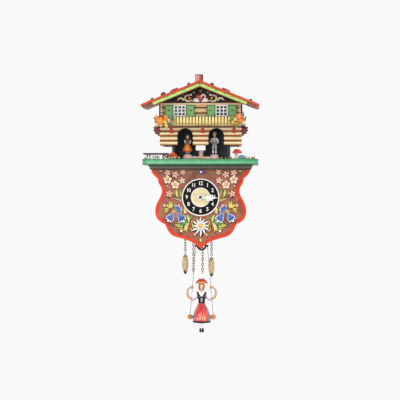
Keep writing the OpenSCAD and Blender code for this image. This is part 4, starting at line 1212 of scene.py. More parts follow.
def toadstool(clay):
    """Leaning cream stem with a collar, under a red cap with white spots."""
    stem = lathe([(2.0, 0), (1.5, 0.8), (1.15, 3), (1.0, 5.2), (1.4, 6.6)], 16)
    clay.add(stem, "cream", at(38.2, -61, GROUND, lean=12))
    collar = lathe([(1.2, 4.6), (2.2, 4.2), (2.3, 4.5), (1.2, 5.1)], 18)
    clay.add(collar, "white", at(38.4, -61, GROUND, lean=12))
    cap = lathe([(0.5, 0.3), (3.0, -0.1), (5.0, -0.5), (5.3, 0.1), (4.9, 1.5), (3.9, 3.0), (2.4, 4.1),
                 (0.9, 4.6), (0.1, 4.7)], 28)
    place = shift(40.4, -61, GROUND + 6.6)
    clay.add(cap, "red", place)
    for k in range(16):
        r, h = ((4.7, 1.9), (3.9, 3.05), (2.9, 3.85), (1.5, 4.5))[k % 4]
        clay.add(ball((0.55, 0.55, 0.3), 9, 5), "white", place @ shift(*polar(r, math.degrees(2.4 * k)), h))


def garden():
    """Toadstool, dome bush, flower bush, tufts and small flowers on the landscape board."""
    clay = Clay()
    rng = random.Random(9)
    toadstool(clay)
    # Clipped dome bush on the right
    bush = (45.4, -64.4, GROUND - 0.2)
    clay.add(ball((4.9, 4.4, 4.3), 22, 14, 0.12, 2.0), "teal_leaf", shift(*bush))
    for _ in range(90):
        d, p = on_dome(bush, (4.7, 4.2, 4.1), rng.uniform(0, 6.28), rng.uniform(0.05, 1.45))
        colour = rng.choice(("teal", "sky", "teal_leaf"))
        place = shift(*p) @ d.to_track_quat("Z", "Y").to_matrix().to_4x4() @ spin("Z", rng.uniform(0, 360))
        clay.add(dab(1.5, 0.9, 0.2, "leaf", 0, 0.3), colour, place)
    # Flower bush on the left, in front of the wall
    bush = (-30.4, -63.4, GROUND + 1.4)
    clay.add(ball((4.6, 3.6, 4.2), 20, 12, 0.2, 5.0), "leaf", shift(*bush))
    for _ in range(34):
        p = on_dome(bush, (4.6, 3.6, 4.4), rng.uniform(3.1, 6.3), rng.uniform(0.1, 1.5))[1]
        flower(clay, at(*p, rng.uniform(-50, 50), rng.uniform(-40, 10)), rng.uniform(1.1, 1.6),
               rng.choice(("orange", "red", "red", "orange")), "amber")
    # Tufts of blades: x, y, count, height and colour
    for x, y, count, tall, colour in (
            (-50.0, -66, 14, 5.2, "teal"), (-46.2, -65, 12, 4.2, "leaf"), (-23.5, -66, 9, 3.0, "leaf"),
            (-59.5, -62, 8, 3.0, "leaf"), (52.0, -62, 9, 3.2, "leaf"), (57.5, -62, 9, 3.0, "leaf"),
            (34.2, -66, 9, 3.0, "leaf"), (-38.2, -67, 8, 2.6, "leaf")):
        for _ in range(count):
            lean, turn = rng.uniform(8, 46) - 90, rng.uniform(0, 360)
            place = at(x + rng.uniform(-1.4, 1.4), y + rng.uniform(-0.8, 0.8), GROUND - 0.1, turn, 0, lean)
            clay.add(dab(tall * rng.uniform(0.7, 1.1), 0.8, 0.16, "leaf", 0, 0.6), colour, place)
    # Small flowers, most of them along the front edge of the board
    spots = [(-7.8, -66.5, "sky"), (-5.8, -65.7, "sky"), (-4.0, -66.7, "sky"), (-6.6, -67.5, "sky"),
             (-1.2, -67.6, "yellow"), (0.6, -67.0, "yellow"), (-0.2, -68.2, "amber"), (50.4, -63, "orange"),
             (54.0, -64, "pink"), (56.6, -62, "tan"), (59.4, -60, "orange"), (53.0, -61, "cream")]
    x = -61.0
    while x < 61:
        y = -70.6 + 4.2 * max(0, abs(x) - 57) / 4 + rng.uniform(0, 1.2)
        spots.append((x, y, rng.choice(("cream", "yellow", "cream", "tan", "white"))))
        x += rng.uniform(2.6, 5.0)
    for x, y, colour in spots:
        tall = rng.uniform(0.5, 1.3) + (1.2 if colour in ("sky", "orange") else 0)
        clay.add(tube([(x, y, GROUND - 0.2), (x + 0.1, y, GROUND + tall)], 0.2, 5), "leaf")
        flower(clay, at(x, y, GROUND + tall + 0.2, rng.uniform(-30, 30), rng.uniform(-60, -20)),
               rng.uniform(0.7, 1.0), colour, "amber" if colour != "yellow" else "tan", 5, 0.3)
        for _ in range(3):
            place = at(x, y, GROUND - 0.1, rng.uniform(0, 360), 0, -55)
            clay.add(dab(1.5, 0.55, 0.12, "leaf", 0, 0.3), "leaf", place)
    materials = dict(PALETTE, teal_leaf=paint("bush_teal", srgb(84, 158, 176), 0.5, 0.3, 700, 0.0))
    clay.piece("garden", "house", ("garden_plants",), 60, materials)


def brace():
    """V of slanting struts and a thicker top rail on the fence."""
    low, high = box_mm("fence")
    y = (low.y + high.y) / 2
    foot, top = (low.x + 26.2, y, low.z + 0.2), high.z - 1.0
    pitch = (high.x - low.x - 0.8) / 6
    rail = [(low.x + 0.4 + pitch * k, y + 0.06 * (-1) ** k, high.z - 1.05) for k in range(7)]
    clay = Clay()
    for strut in ([(low.x + 22.4, y, top), (low.x + 24.4, y, high.z - 3.4), foot],
                  [(high.x - 0.5, y, top), (high.x - 1.0, y, high.z - 3.6), foot]):
        clay.add(tube(strut, [0.85, 0.8, 0.85], 8), "fence")
    clay.add(tube(rail, [1.0, 0.95, 1.02, 0.97, 1.0, 0.95, 1.0], 10), "fence")
    clay.piece("fence_brace", "house", materials={"fence": fence_wood})


def corbels():
    """Carved dark red leaves that fan out from both ends of the log front."""
    clay = Clay()
    leaves = ((6, 8.0, 4.0), (-20, 8.4, 4.6), (-46, 8.6, 4.6), (-74, 9.2, 4.0))
    for k, (degrees, long, wide) in enumerate(leaves):
        root = on_front(44.6, -3.6, -53.0 - 0.3 * (k % 2), degrees)
        clay.both(dab(long, wide, 1.0, "leaf", -0.5), "maroon", root)
        clay.both(dab(long * 0.5, wide * 0.3, 0.3, "leaf", -0.3), "crimson", root @ shift(1.4, 0, 0.9))
    clay.both(block((43.8, -53.6, -4.8), (49.2, -50.5, -2.0), 0.5), "maroon")
    for z, r in ((-3.6, 1.2), (-7.2, 0.9)):
        clay.both(ball((r, 0.9, r), 12, 8), "crimson", shift(46.6 - 0.3 * r, -53.8, z))
    clay.piece("corbel_carving", "house", sharp=60)


balcony_flowers()
garden()
brace()
corbels()


# ---------------------------------------------------------------- weather-house figures


def face(clay, head, r):
    """Painted eyes, brows, cheeks, nose and mouth on a head of radius r whose place is given."""
    place = head @ Matrix.Scale(r, 4)
    for side in (-1, 1):
        clay.add(ball((0.13, 0.06, 0.16), 10, 6), "white", place @ shift(side * 0.34, -0.9, 0.14))
        clay.add(ball((0.075, 0.05, 0.1), 8, 6), "navy", place @ shift(side * 0.33, -0.945, 0.13))
        brow = [(side * 0.18, -0.94, 0.34), (side * 0.36, -0.9, 0.4), (side * 0.52, -0.8, 0.33)]
        clay.add(tube(brow, 0.035, 6), "hair", place)
        clay.add(ball((0.2, 0.06, 0.16), 10, 6), "blush", place @ shift(side * 0.5, -0.83, -0.2))
    clay.add(ball((0.11, 0.16, 0.13), 10, 7), "skin", place @ shift(0, -0.98, -0.06))
    mouth = [(-0.22, -0.88, -0.36), (0, -0.93, -0.43), (0.22, -0.88, -0.36)]
    clay.add(tube(mouth, [0.03, 0.06, 0.03], 7), "red", place)


def woman():
    """Woman in a gold and red skirt, with a dark shawl and a basket."""
    low, high = box_mm("woman_figure")
    foot = 3.1  # height of the shoes' soles over the figure's own zero
    clay = Clay(shift((low.x + high.x) / 2, (low.y + high.y) / 2, low.z - foot))
    add = clay.add
    for side in (-1, 1):
        add(tube([(side * 1.3, 0.2, foot + 0.4), (side * 1.2, 0, 7.2)], [0.6, 0.8], 10), "white")
        add(ball((0.85, 1.5, 0.62), 12, 8), "black", shift(side * 1.35, -0.6, foot + 0.6))
    # Skirt with its border, stripes and apron
    skirt = [(4.3, 5.9), (4.75, 6.3), (4.6, 7.2), (4.1, 9.2), (3.3, 11.8), (2.5, 14.0), (2.0, 15.4)]
    add(lathe(skirt, 48, 0.09, 12), "orange")
    add(lathe([(4.62, 6.0), (4.85, 6.5), (4.72, 7.1)], 48, 0.09, 12), "crimson")
    stripe = ((4.55, 7.4), (4.0, 9.4), (3.2, 12.0), (2.3, 14.4))
    for k in range(12):
        path = [polar(r * 1.05, 30 * k + 7.5) + (h,) for r, h in stripe]
        add(tube(path, [0.4, 0.34, 0.26, 0.18], 6), "red" if k % 2 else "amber")
    turns = range(-120, -59, 10)
    add(skin_rings([[polar(r + 0.35, a) + (h,) for a in turns] + [polar(r, a) + (h,) for a in turns[::-1]]
                    for r, h in ((4.7, 7.6), (4.2, 9.6), (3.5, 12.0), (2.6, 14.6))]), "amber")
    # Bodice and shawl
    add(lathe([(2.05, 14.8), (2.25, 15.2), (2.2, 15.7)], 24), "black")
    bodice = [(2.0, 15.4), (2.3, 16.6), (2.7, 18.2), (2.5, 19.4), (1.4, 20.2), (0.9, 20.6)]
    add(lathe(bodice, 28, flat=0.8), "maroon")
    add(lathe([(2.72, 18.1), (2.75, 18.8), (1.9, 19.9), (1.2, 20.4)], 28, flat=0.82), "brown")
    for side in (-1, 1):
        add(ball((1.35, 1.3, 1.6), 16, 10, 0.12, side), "white", shift(side * 2.7, 0, 18.0))
        sleeve = [(side * 2.8, -0.3, 17.2), (side * 2.9, -1.2, 15.9),
                  (side * 1.6, -2.6, 15.8), (side * 0.7, -2.9, 16.1)]
        add(tube(sleeve, [0.75, 0.7, 0.55, 0.45], 10), "white")
        add(ball((0.5, 0.5, 0.45), 10, 7), "skin", shift(side * 0.6, -3.0, 16.2))
    # Basket of flowers
    basket = lathe([(0.9, -0.2), (1.25, 0.4), (1.35, 1.1), (1.1, 1.2), (0.2, 0.9)], 16)
    add(basket, "brown", shift(0, -3.4, 15.0))
    for k, colour in enumerate(("red", "yellow", "white", "red", "lilac")):
        across, out = polar(0.7, math.degrees(1.26 * k))
        add(ball(0.4, 9, 6), colour, shift(across, out - 3.4, 16.3))
    # Head and hair, and a straw hat with a dark band
    add(lathe([(0.8, 20.0), (0.75, 21.2)], 14), "skin")
    add(ball((1.9, 1.95, 2.2), 22, 14), "skin", shift(0, -0.1, 22.5))
    add(ball((2.05, 1.95, 2.1), 22, 14, 0.05, 1), "hair", shift(0, 0.45, 22.9))
    add(ball((1.0, 0.9, 0.9), 14, 9, 0.1, 2), "hair", shift(0, 1.8, 23.2))
    hat = [(3.0, 23.5), (3.1, 23.8), (1.9, 24.1), (1.8, 24.9), (1.2, 25.3), (0.1, 25.4)]
    add(lathe(hat, 28, flat=0.92), "grey")
    add(lathe([(1.95, 24.0), (1.95, 24.5), (1.85, 24.6)], 24, flat=0.92), "maroon")
    face(clay, shift(0, -0.1, 22.5), 1.95)
    clay.piece("woman", "weather_arm", ("woman_figure",), 60, PAINTED_LIGHT)


def man():
    """Man in shorts and a patterned waistcoat, hands on his hips."""
    low, high = box_mm("man_figure")
    clay = Clay(shift((low.x + high.x) / 2, (low.y + high.y) / 2, low.z) @ Matrix.Scale(0.93, 4, (0, 0, 1)))
    add = clay.add
    for side in (-1, 1):
        # Shoe, stocking, garter, knee and shorts
        add(ball((0.95, 1.6, 0.7), 12, 8), "black", shift(side * 1.6, -0.6, 0.7))
        stocking = [(side * 1.6, 0.1, 0.6), (side * 1.6, 0.2, 3.0), (side * 1.55, 0.1, 5.6)]
        add(tube(stocking, [0.7, 0.95, 0.85], 12), "white")
        add(lathe([(0.95, 5.2), (1.05, 5.6), (0.95, 6.0)], 14), "leaf", shift(side * 1.55, 0.1, 0))
        add(tube([(side * 1.5, 0, 5.8), (side * 1.5, 0, 7.2)], [0.8, 0.85], 12), "skin")
        shorts = [(side * 1.55, 0, 7.0), (side * 1.45, 0, 9.4), (side * 1.1, 0, 12.2)]
        add(tube(shorts, [1.35, 1.5, 1.5], 14), "grey")
        add(tube([(side * 2.6, -0.9, 7.4), (side * 2.6, -0.8, 11.0)], 0.2, 6), "mauve")
        # Sleeve, hand and shoulder strap
        add(ball((1.4, 1.35, 1.6), 16, 10, 0.1, side), "white", shift(side * 2.9, 0, 18.2))
        sleeve = [(side * 3.2, 0, 17.6), (side * 4.2, 0.1, 15.8),
                  (side * 3.9, -0.6, 14.6), (side * 2.7, -1.2, 13.7)]
        add(tube(sleeve, [1.05, 1.0, 0.85, 0.6], 12), "white")
        add(ball((0.6, 0.6, 0.5), 10, 7), "skin", shift(side * 2.5, -1.4, 13.5))
        strap = [(side * 1.2, -2.05, 14.4), (side * 1.4, -2.35, 17.0), (side * 1.3, -1.3, 19.6)]
        add(tube(strap, 0.26, 7), "leaf")
    # Waist, belt, buckle and shirt
    add(lathe([(2.3, 11.6), (2.45, 12.8), (2.35, 13.8)], 26, flat=0.82), "grey")
    add(lathe([(2.4, 13.6), (2.5, 14.0), (2.4, 14.4)], 26, flat=0.84), "black")
    add(ball((0.5, 0.2, 0.4), 10, 6), "yellow", shift(0, -2.1, 14.0))
    shirt = [(2.25, 14.2), (2.5, 16.4), (2.8, 18.4), (2.4, 19.6), (1.3, 20.3), (0.9, 20.8)]
    add(lathe(shirt, 28, flat=0.8), "white")
    for side in (-1, 1):
        panel = [(side * 0.5, -2.1, 14.4), (side * 0.9, -2.4, 16.6), (side * 1.4, -2.0, 18.8)]
        add(tube(panel, [0.75, 0.8, 0.6], 10, 0.5), "mauve")
        for k in range(3):
            add(ball((0.16, 0.14, 0.16), 7, 5), "cream", shift(side * 0.25, -2.45, 15.0 + 1.1 * k))
    add(ball((1.1, 0.5, 0.45), 12, 7), "red", shift(0, -1.6, 20.0))
    # Head with a moustache, under a hat with a feather
    add(lathe([(0.85, 20.2), (0.8, 21.4)], 14), "skin")
    add(ball((1.85, 1.95, 2.25), 22, 14), "skin", shift(0, -0.1, 23.0))
    add(ball((1.98, 1.9, 2.0), 20, 12, 0.05, 4), "hair", shift(0, 0.5, 23.2))
    add(tube([(-0.7, -1.95, 22.45), (0, -2.12, 22.6), (0.7, -1.95, 22.45)], [0.12, 0.22, 0.12], 7), "hair")
    hat = [(3.35, 24.3), (3.4, 24.6), (2.1, 24.9), (2.05, 25.9), (1.6, 27.0), (1.0, 27.35), (0.1, 27.2)]
    add(lathe(hat, 28, flat=0.9), "blush_grey")
    add(lathe([(2.16, 24.8), (2.14, 25.4), (2.06, 25.5)], 24, flat=0.9), "grey")
    add(dab(2.6, 0.7, 0.2, "leaf", 0.3), "cream", at(1.9, 0.3, 25.0, 20, 0, -68))
    face(clay, shift(0, -0.1, 23.0), 1.95)
    clay.piece("man", "weather_arm", ("man_figure",), 60, PAINTED_LIGHT)


woman()
man()


# ---------------------------------------------------------------- fir-cone weights


CONE = {"bright": metal("brass_cone", srgb(255, 238, 204), srgb(190, 146, 96), 0.4, 0.5, 700),
        "dark": metal("brass_shadow", srgb(120, 90, 52), srgb(52, 38, 24), 0.5)}
# Outline of a cone: share of its length from the top, and share of its greatest radius
GIRTH = ((0.0, 0.5), (0.06, 0.7), (0.18, 0.94), (0.38, 1.0), (0.52, 0.96),
         (0.64, 0.83), (0.75, 0.64), (0.85, 0.44), (0.93, 0.26), (1.0, 0.1))


def girth(t):
    """The outline's share of the greatest radius at a share of the length."""
    for (a, wide_a), (b, wide_b) in zip(GIRTH, GIRTH[1:]):
        if t <= b:
            return wide_a + (wide_b - wide_a) * (t - a) / (b - a)
    return GIRTH[-1][1]


def cone(node, name, body, ring_turn):
    """A cast fir cone: rows of overlapping scales round a core, with a cap and hanging ring."""
    low, high = box_mm(node)
    top = high.z - 2.6
    length, widest, count = top - low.z, (high.x - low.x) / 2, 96
    clay = Clay(shift((low.x + high.x) / 2, (low.y + high.y) / 2, 0))
    shares = [1 - k / 16 for k in range(17)]
    core = [(widest * girth(t) * (0.92 if t > 0.7 else 0.78), top - length * t) for t in shares]
    clay.add(lathe(core, 24), "dark")
    for k in range(count):
        t = 0.02 + 0.88 * k / (count - 1)
        size = (0.22 + 0.72 * girth(t)) * (1 - max(0.0, t - 0.6))
        scale = dab(3.3 * size, 2.4 * size, 0.5, "petal", 0, 0.3, 0.1, 6)
        place = at(0, 0, top - t * length, 137.508 * k) @ shift(widest * girth(t) * 0.7, 0, 0) @ spin("Y", 72)
        clay.add(scale, "bright" if t < 0.78 else "dark", place)
    ring = tube(arc((0, 0, 0), 0.9, 0, 352, 22), 0.3, 8)
    clay.add(ring, "bright", at(0, 0, high.z - 1.2, ring_turn))
    cap = lathe([(0.3, -0.7), (1.5, -0.5), (1.35, 0.0), (0.7, 0.25), (0.45, 0.75), (0.4, 1.0)], 18)
    clay.add(cap, "bright", shift(0, 0, top))
    clay.add(ball((0.5, 0.5, 0.8), 10, 7), "dark", shift(0, 0, low.z + 0.85))
    clay.piece(name, body, (node,), 60, CONE)


cone("weight_left", "fir_cone_left", "left_weight", 0)
cone("weight_right", "fir_cone_right", "right_weight", 90)


# ---------------------------------------------------------------- doll on the swing

SWING_Y = -25.0
WAIST = box_mm("doll_body")[0].z
HEM = box_mm("doll_skirt")[0].z


def apron_finish():
    """Glossy red, deep red in the hollows of its relief folds as painted shade and pale orange on their
    crests as painted highlight.
    """
    f = Finish("apron_red", 0.2, coat=0.8)
    folds = f.noise(330, (1, 1, 0.22), detail=2)
    # Deep red at low noise, in the hollows of the bump, is painted shade; the palest stop on the crests is a
    # painted highlight.
    f.colour(f.ramp(folds, [(0.3, srgb(150, 14, 30)), (0.47, srgb(210, 26, 26)), (0.6, srgb(232, 60, 32)),
                            (0.75, srgb(244, 112, 78))]))
    f.rough(f.noise(900), 0.14, 0.34)
    f.bump(folds, 0.4)
    return f.material


def doll_skirt():
    """Bell skirt in grey and mauve with a glossy red apron, pale sprig-shaped strokes of painted highlight
    near its hem, and a black hem.
    """
    clay = Clay(shift(0, SWING_Y, HEM))
    tall = WAIST - HEM
    outline = [(9.2, 0.0), (9.5, 0.35), (9.65, 2.3), (9.7, 4.6), (9.4, 7.6),
               (8.4, 11.8), (6.8, 15.8), (5.2, 18.9), (3.7, tall)]
    sides, lobes, fold_depth = 96, 16, 0.035

    def ring(r, h, turns, proud=0.0):
        """Points round the folded skirt at a height, with turns in degrees from the front."""
        points = []
        for a in turns:
            reach = r * (1 + fold_depth * (tall - h) / tall * math.sin(lobes * math.radians(a))) + proud
            points.append(polar(reach, a - 90) + (h,))
        return points

    around = [360 * k / sides for k in range(sides)]
    clay.add(skin_rings([ring(r, h, around) for r, h in outline]), "mauve")
    hem = [(9.1, 0.02, 0.0), (9.35, 0.1, 0.1), (9.65, 1.2, 0.12), (9.68, 1.9, 0.1), (9.5, 2.1, 0.0)]
    clay.add(skin_rings([ring(r, h, around, proud) for r, h, proud in hem]), "black")
    front = range(-46, 47, 4)
    apron = [ring(r, h, front, 0.42) + ring(r - 0.3, h, front[::-1]) for r, h in outline[2:]]
    clay.add(skin_rings(apron), "apron")
    # Sprig-shaped pale strokes near the apron's hem, a painted highlight of its gloss: degrees from the
    # front, height and length
    for a, h, long in ((-25, 3.0, 3.6), (-9, 2.8, 4.8), (8, 3.0, 4.4),
                       (22, 3.0, 5.0), (-17, 7.4, 2.4), (15, 7.6, 2.6)):
        out = -10.2 + max(0.0, 0.14 * (h - 5))
        colour = "pink" if h > 5 else "cream"
        clay.add(dab(long, 1.1, 0.2, "petal"), colour, spin("Z", a) @ on_front(0, h, out, 88))
        for turn in (128, 52):
            clay.add(dab(1.6, 0.6, 0.16, "leaf"), "pink", spin("Z", a) @ on_front(0, h + 0.8, out, turn))
    clay.add(lathe([(3.7, tall - 1.0), (3.95, tall - 0.5), (3.8, tall + 0.3)], 40), "crimson")
    # Bow at the back
    for side in (-1, 1):
        clay.add(dab(3.4, 2.2, 0.7, "petal"), "red", at(0, 3.6, tall - 0.6, 0 if side > 0 else 180, -90))
        tail = at(side * 0.6, 4.3, tall - 0.8, lean=76) @ spin("X", 90)
        clay.add(dab(7.5, 1.5, 0.4, "leaf"), "red", tail)
    materials = dict(PALETTE, apron=apron_finish(),
                     mauve=paint("skirt_mauve", srgb(150, 128, 148), 0.26, 0.34, 420, 0.6))
    clay.piece("doll_dress", "swing", ("doll_skirt",), 60, materials)


def doll_bodice():
    """Laced black bodice over a white blouse with a V collar."""
    clay = Clay(shift(0, SWING_Y, WAIST))
    outline = [(3.55, -0.2), (3.5, 1.6), (3.7, 3.6), (4.5, 5.6), (5.2, 7.6),
               (5.0, 9.6), (4.4, 10.8), (3.4, 11.8), (2.2, 12.3)]
    clay.add(lathe(outline, 44, flat=0.78), "black")
    clay.add(lathe([(1.6, 12.0), (1.5, 14.8)], 18), "skin")
    clay.add(lathe([(3.4, 11.0), (2.9, 12.0), (2.1, 13.0), (1.7, 13.1)], 30, flat=0.86), "white")
    for side in (-1, 1):
        # V of the blouse, its collar, and the shoulder strap
        clay.add(dab(7.2, 3.0, 0.55, "petal"), "white", on_front(0, 6.8, -3.75, 90 - side * 20))
        clay.add(dab(4.6, 2.0, 0.5, "leaf"), "white", on_front(side * 0.3, 10.4, -3.6, 90 - side * 42))
        strap = [(side * 1.4, -4.1, 7.4), (side * 3.0, -3.9, 9.6),
                 (side * 4.2, -2.6, 11.4), (side * 4.0, -0.2, 12.2)]
        clay.add(tube(strap, [0.7, 0.95, 1.0, 0.9], 10), "black")
        # Silver buttons and laces, closer together towards the waist
        for k in range(4):
            across, out, h = 0.9 + 0.2 * k, -2.85 - 0.3 * k, 1.6 + 1.45 * k
            clay.add(ball((0.32, 0.25, 0.32), 8, 6), "grey", shift(side * across, out, h))
            if k < 3:
                lace = [(side * across, out - 0.1, h), (-side * (across + 0.2), out - 0.4, h + 1.45)]
                clay.add(tube(lace, 0.17, 6), "white")
        clay.add(dab(2.4, 1.2, 0.3, "leaf"), "grey", on_front(side * 1.5, 6.9, -3.85, 90 - side * 62))
    clay.add(ball((0.5, 0.3, 0.5), 10, 6), "grey", shift(0, -4.0, 7.4))
    clay.piece("doll_bodice", "swing", ("doll_body",), 60)


def wire_x(height):
    """How far the swing's wire is from the middle, at a height over the waist."""
    (top_x, top_z), (low_x, low_z) = (6.6, -135.3), (12.9, -210.5)
    return top_x + (top_z - WAIST - height) * (low_x - top_x) / (top_z - low_z)


def doll_arms():
    """Puffed sleeves, bent forearms, and fists closed round the wires."""
    clay = Clay(shift(0, SWING_Y, WAIST))
    # Sleeve: a gathered puff, with a seam line and a band round its lower edge
    across, out, sides = Vector((0.9, 0, 0.42)), Vector((0, 0.86, 0)), 54
    rings = []
    for k, r in enumerate((2.0, 3.0, 3.5, 3.75, 3.9, 3.9, 3.8, 3.55, 3.1, 2.4, 1.4)):
        middle = Vector((6.6 + 0.24 * k, 0, 13.9 - 0.98 * k))
        rings.append([middle + (across * math.cos(a) + out * math.sin(a)) * r * (1 + 0.05 * math.sin(9 * a))
                      for a in (2 * math.pi * i / sides for i in range(sides))])
    clay.both(skin_rings(rings), "sleeve")
    seam = [(5.0, -1.8, 7.2), (6.6, -2.6, 4.9), (8.8, -2.4, 3.9), (11.0, -1.6, 4.6), (11.9, -0.6, 6.4)]
    clay.both(tube(seam, 0.3, 8), "mauve")
    clay.both(tube([(8.3, 0, 4.6), (9.9, 0, 3.9), (11.4, 0, 4.9)], [1.5, 1.75, 1.5], 16), "sleeve_band")
    # Forearm and fist
    grip_z = 17.9
    grip = wire_x(grip_z)
    forearm = [(10.6, 0.0, 5.4), (12.2, -0.1, 4.9), (14.2, -0.3, 6.2), (15.6, -0.4, 8.8), (16.0, -0.4, 12.0),
               (15.6, -0.3, 14.8), (14.0, -0.1, 16.9), (grip + 1.1, 0, 17.6)]
    clay.both(tube(forearm, [1.15, 1.3, 1.32, 1.28, 1.2, 1.12, 1.05, 0.95], 16), "arm")
    clay.both(ball((1.45, 1.35, 1.6), 16, 10), "arm", shift(grip + 1.05, 0, grip_z))
    # Four fingers round the wire, and the thumb over them
    for k in range(4):
        z = grip_z + 1.1 - 0.76 * k
        clay.both(tube(arc((wire_x(z), 0, z), 0.9, -60, -300, 9, "XY"), [0.46] * 9 + [0.36], 8), "arm")
    thumb = [(1.0, -0.8, 0.9), (0.2, -1.3, 1.5), (-0.6, -0.9, 1.8)]
    clay.both(tube(thumb, [0.52, 0.46, 0.36], 8), "arm", shift(grip, 0, grip_z))
    materials = dict(PALETTE, sleeve=paint("sleeve_white", srgb(242, 240, 246), 0.32, 0.07, 300, 0.4),
                     sleeve_band=paint("sleeve_cuff", srgb(212, 196, 216), 0.36, 0.1),
                     arm=paint("arm_tan", srgb(208, 156, 108), 0.3, 0.14, 400, 0.4))
    clay.piece("doll_arms_hands", "swing", ("doll_arms",), 60, materials)


def doll_head():
    """Long head with a painted face, and golden-brown hair at its sides and back."""
    clay = Clay(shift(0, SWING_Y, WAIST + 18.0))
    rows = [(0.5, -5.7), (1.15, -5.4), (1.6, -4.5), (2.1, -2.8), (2.7, -0.6),
            (3.05, 1.8), (2.95, 3.4), (2.0, 4.6), (0.4, 4.9)]
    clay.add(lathe(rows, 36, flat=0.98), "face")
    face(clay, shift(0, 0, -1.2), 2.7)
    clay.add(ball((3.1, 2.9, 3.6), 28, 16, 0.04, 3), "hair", shift(0, 0.95, 0.9))
    for side in (-1, 1):
        lock = [(side * 0.8, -2.5, 4.2), (side * 2.3, -2.4, 3.2), (side * 3.0, -1.6, 1.2),
                (side * 2.6, -1.1, -1.2), (side * 1.9, -0.8, -3.8)]
        clay.add(tube(lock, [0.5, 0.8, 0.85, 0.7, 0.3], 12), "hair")
        clay.add(ball((0.4, 0.55, 0.75), 10, 7), "face", shift(side * 2.75, -0.1, -0.6))
    clay.add(ball((1.5, 1.3, 1.5), 18, 12, 0.08, 7), "hair", shift(0, 3.4, -0.4))
    materials = dict(PALETTE, face=paint("face_tan", srgb(240, 184, 136), 0.3, 0.05, 500, 0.4),
                     hair=paint("hair_gold", srgb(142, 96, 30), 0.45, 0.3, 900))
    clay.piece("doll_head_hair", "swing", ("doll_head",), 60, materials)


def doll_hat():
    """Red hat with a drooping brim and woollen balls round its crown."""
    clay = Clay(shift(0, SWING_Y, box_mm("doll_head")[0].z + 8.7))

    def turned_up(profile, ripple=0.0):
        """A turned shape whose front is raised, most at its edge."""
        points, faces = lathe(profile, 48, ripple, 5)
        return [(x, y, z + 2.3 * (max(0.0, -y) / 7) ** 2) for x, y, z in points], faces

    brim = [(3.0, 0.5), (5.2, -0.1), (6.9, -0.9), (7.3, -0.6), (6.4, 0.4), (5.0, 1.6), (3.9, 2.6), (3.1, 3.4),
            (2.2, 3.9), (0.2, 4.1)]
    clay.add(turned_up(brim, 0.02), "hat_red")
    lining = [(2.9, -0.9), (4.9, -1.3), (6.5, -1.45), (6.9, -1.1), (6.5, -0.85), (5.1, 0.0), (3.0, 0.6)]
    clay.add(turned_up(lining), "orange_lining")
    # Woollen balls: degrees, distance out, height, radius and seed
    wool = [(90 + 40 * k, 4.2, 1.9, 1.1, k) for k in range(9)]
    wool += [(60 + 120 * k, 2.0, 3.2, 1.3, k + 20) for k in range(3)]
    wool += [(205, 2.3, 3.6, 1.3, 31), (335, 2.3, 3.6, 1.3, 33)]
    for turn, reach, height, r, seed in wool:
        colour = "red" if seed % 2 else "hat_red"
        clay.add(ball((r, r, r * 0.95), 16, 10, 0.16, seed), colour, shift(*polar(reach, turn), height))
    # Ribbon under the chin
    for side in (-1, 1):
        ribbon = [(side * 2.9, -0.8, 0.1), (side * 3.0, -1.2, -3.4),
                  (side * 1.6, -1.9, -6.6), (0, -2.0, -7.6)]
        clay.add(tube(ribbon, 0.16, 6, 2.0), "brown")
    materials = dict(PALETTE, hat_red=paint("hat_red", srgb(222, 48, 18), 0.5, 0.2, 500, 0.0, specular=0.2),
                     orange_lining=paint("hat_lining", srgb(250, 186, 118), 0.4, 0.1, 400, 0.2))
    clay.piece("doll_hat", "swing", (), 60, materials)


def doll_legs():
    """White stockings and black shoes with buckles, side by side."""
    low, high = box_mm("doll_legs")
    clay = Clay(shift(0, SWING_Y, low.z))
    shoe = lathe([(0.2, 0.02), (1.2, 0.02), (1.3, 0.5), (1.25, 1.5), (1.15, 2.8), (1.2, 4.0), (0.9, 4.4)], 20)
    for x in (-1.35, 1.35):
        stocking = [(x, 0, high.z - low.z + 1.0), (x, 0.1, 8.0), (x, 0, 4.2)]
        clay.add(tube(stocking, [1.05, 1.0, 0.75], 14), "white")
        clay.add(shoe, "black", shift(x, -0.1, 0))
        clay.add(ball((1.25, 1.7, 0.95), 16, 10), "black", shift(x, -0.9, 1.0))
        clay.add(ball((0.4, 0.25, 0.4), 9, 6), "grey", shift(x, -1.35, 2.3))
    clay.piece("doll_legs_shoes", "swing", ("doll_legs",), 60)


doll_skirt()
doll_bodice()
doll_arms()
doll_head()
doll_hat()
doll_legs()


# ---------------------------------------------------------------- stage, lights and camera


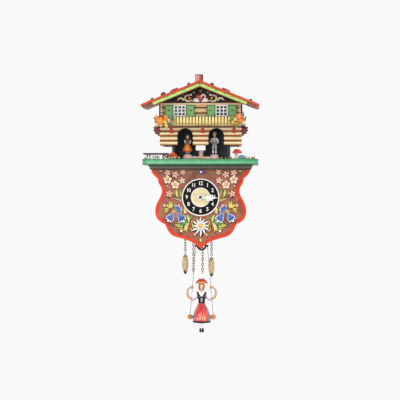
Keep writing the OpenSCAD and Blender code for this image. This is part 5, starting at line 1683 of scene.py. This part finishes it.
def stage():
    """A near-white disc far below the clock, and an even white world."""
    mesh = bpy.data.meshes.new("floor")
    radius, height, sides = 5.0, -1.5, 64
    ring = [polar(radius, 360 * i / sides) + (height,) for i in range(sides)]
    mesh.from_pydata(ring, [], [list(range(sides))])
    floor = bpy.data.objects.new("floor", mesh)
    bpy.context.scene.collection.objects.link(floor)
    pale = Finish("floor_pale", 0.8)
    pale.colour(pale.ramp(pale.noise(2), [(0.3, srgb(248, 248, 248)), (0.7, srgb(250, 250, 249))]))
    mesh.materials.append(pale.material)
    world = bpy.data.worlds.new("studio")
    world.use_nodes = True
    background = world.node_tree.nodes["Background"]
    background.inputs["Color"].default_value = (1.0, 1.0, 1.0, 1.0)
    background.inputs["Strength"].default_value = 0.95
    bpy.context.scene.world = world
    bpy.context.scene.view_settings.view_transform = "Standard"


def softbox(name, place, target, size, power):
    """A rectangular light aimed at a target, in metres and watts."""
    light = bpy.data.lights.new(name, "AREA")
    light.shape = "RECTANGLE"
    light.size, light.size_y = size
    light.energy = power
    lamp = bpy.data.objects.new(name, light)
    lamp.location = place
    lamp.rotation_euler = (Vector(target) - Vector(place)).to_track_quat("-Z", "Y").to_euler()
    bpy.context.scene.collection.objects.link(lamp)


def camera():
    """Level camera at the dial's height, slightly to the right of the clock."""
    azimuth, distance, view_width, sensor = math.radians(2.2), 1.6, 0.44, 36.0
    aim = Vector((-0.0007, -0.055, -0.0825))
    lens = bpy.data.cameras.new("camera")
    lens.sensor_width = sensor
    lens.lens = sensor * distance / view_width
    eye = bpy.data.objects.new("camera", lens)
    eye.location = aim + Vector((math.sin(azimuth) * distance, -math.cos(azimuth) * distance, 0.008))
    eye.rotation_euler = (aim - eye.location).to_track_quat("-Z", "Y").to_euler()
    bpy.context.scene.collection.objects.link(eye)
    bpy.context.scene.camera = eye


stage()
softbox("key", (-0.5, -1.7, 0.2), (0, -0.05, -0.08), (0.9, 0.9), 7.1)
softbox("fill", (1.0, -1.1, 0.1), (0, -0.05, -0.08), (1.0, 1.2), 2.5)
softbox("back", (0.3, 1.3, 0.9), (0, -0.02, -0.05), (1.0, 1.0), 8)
camera()
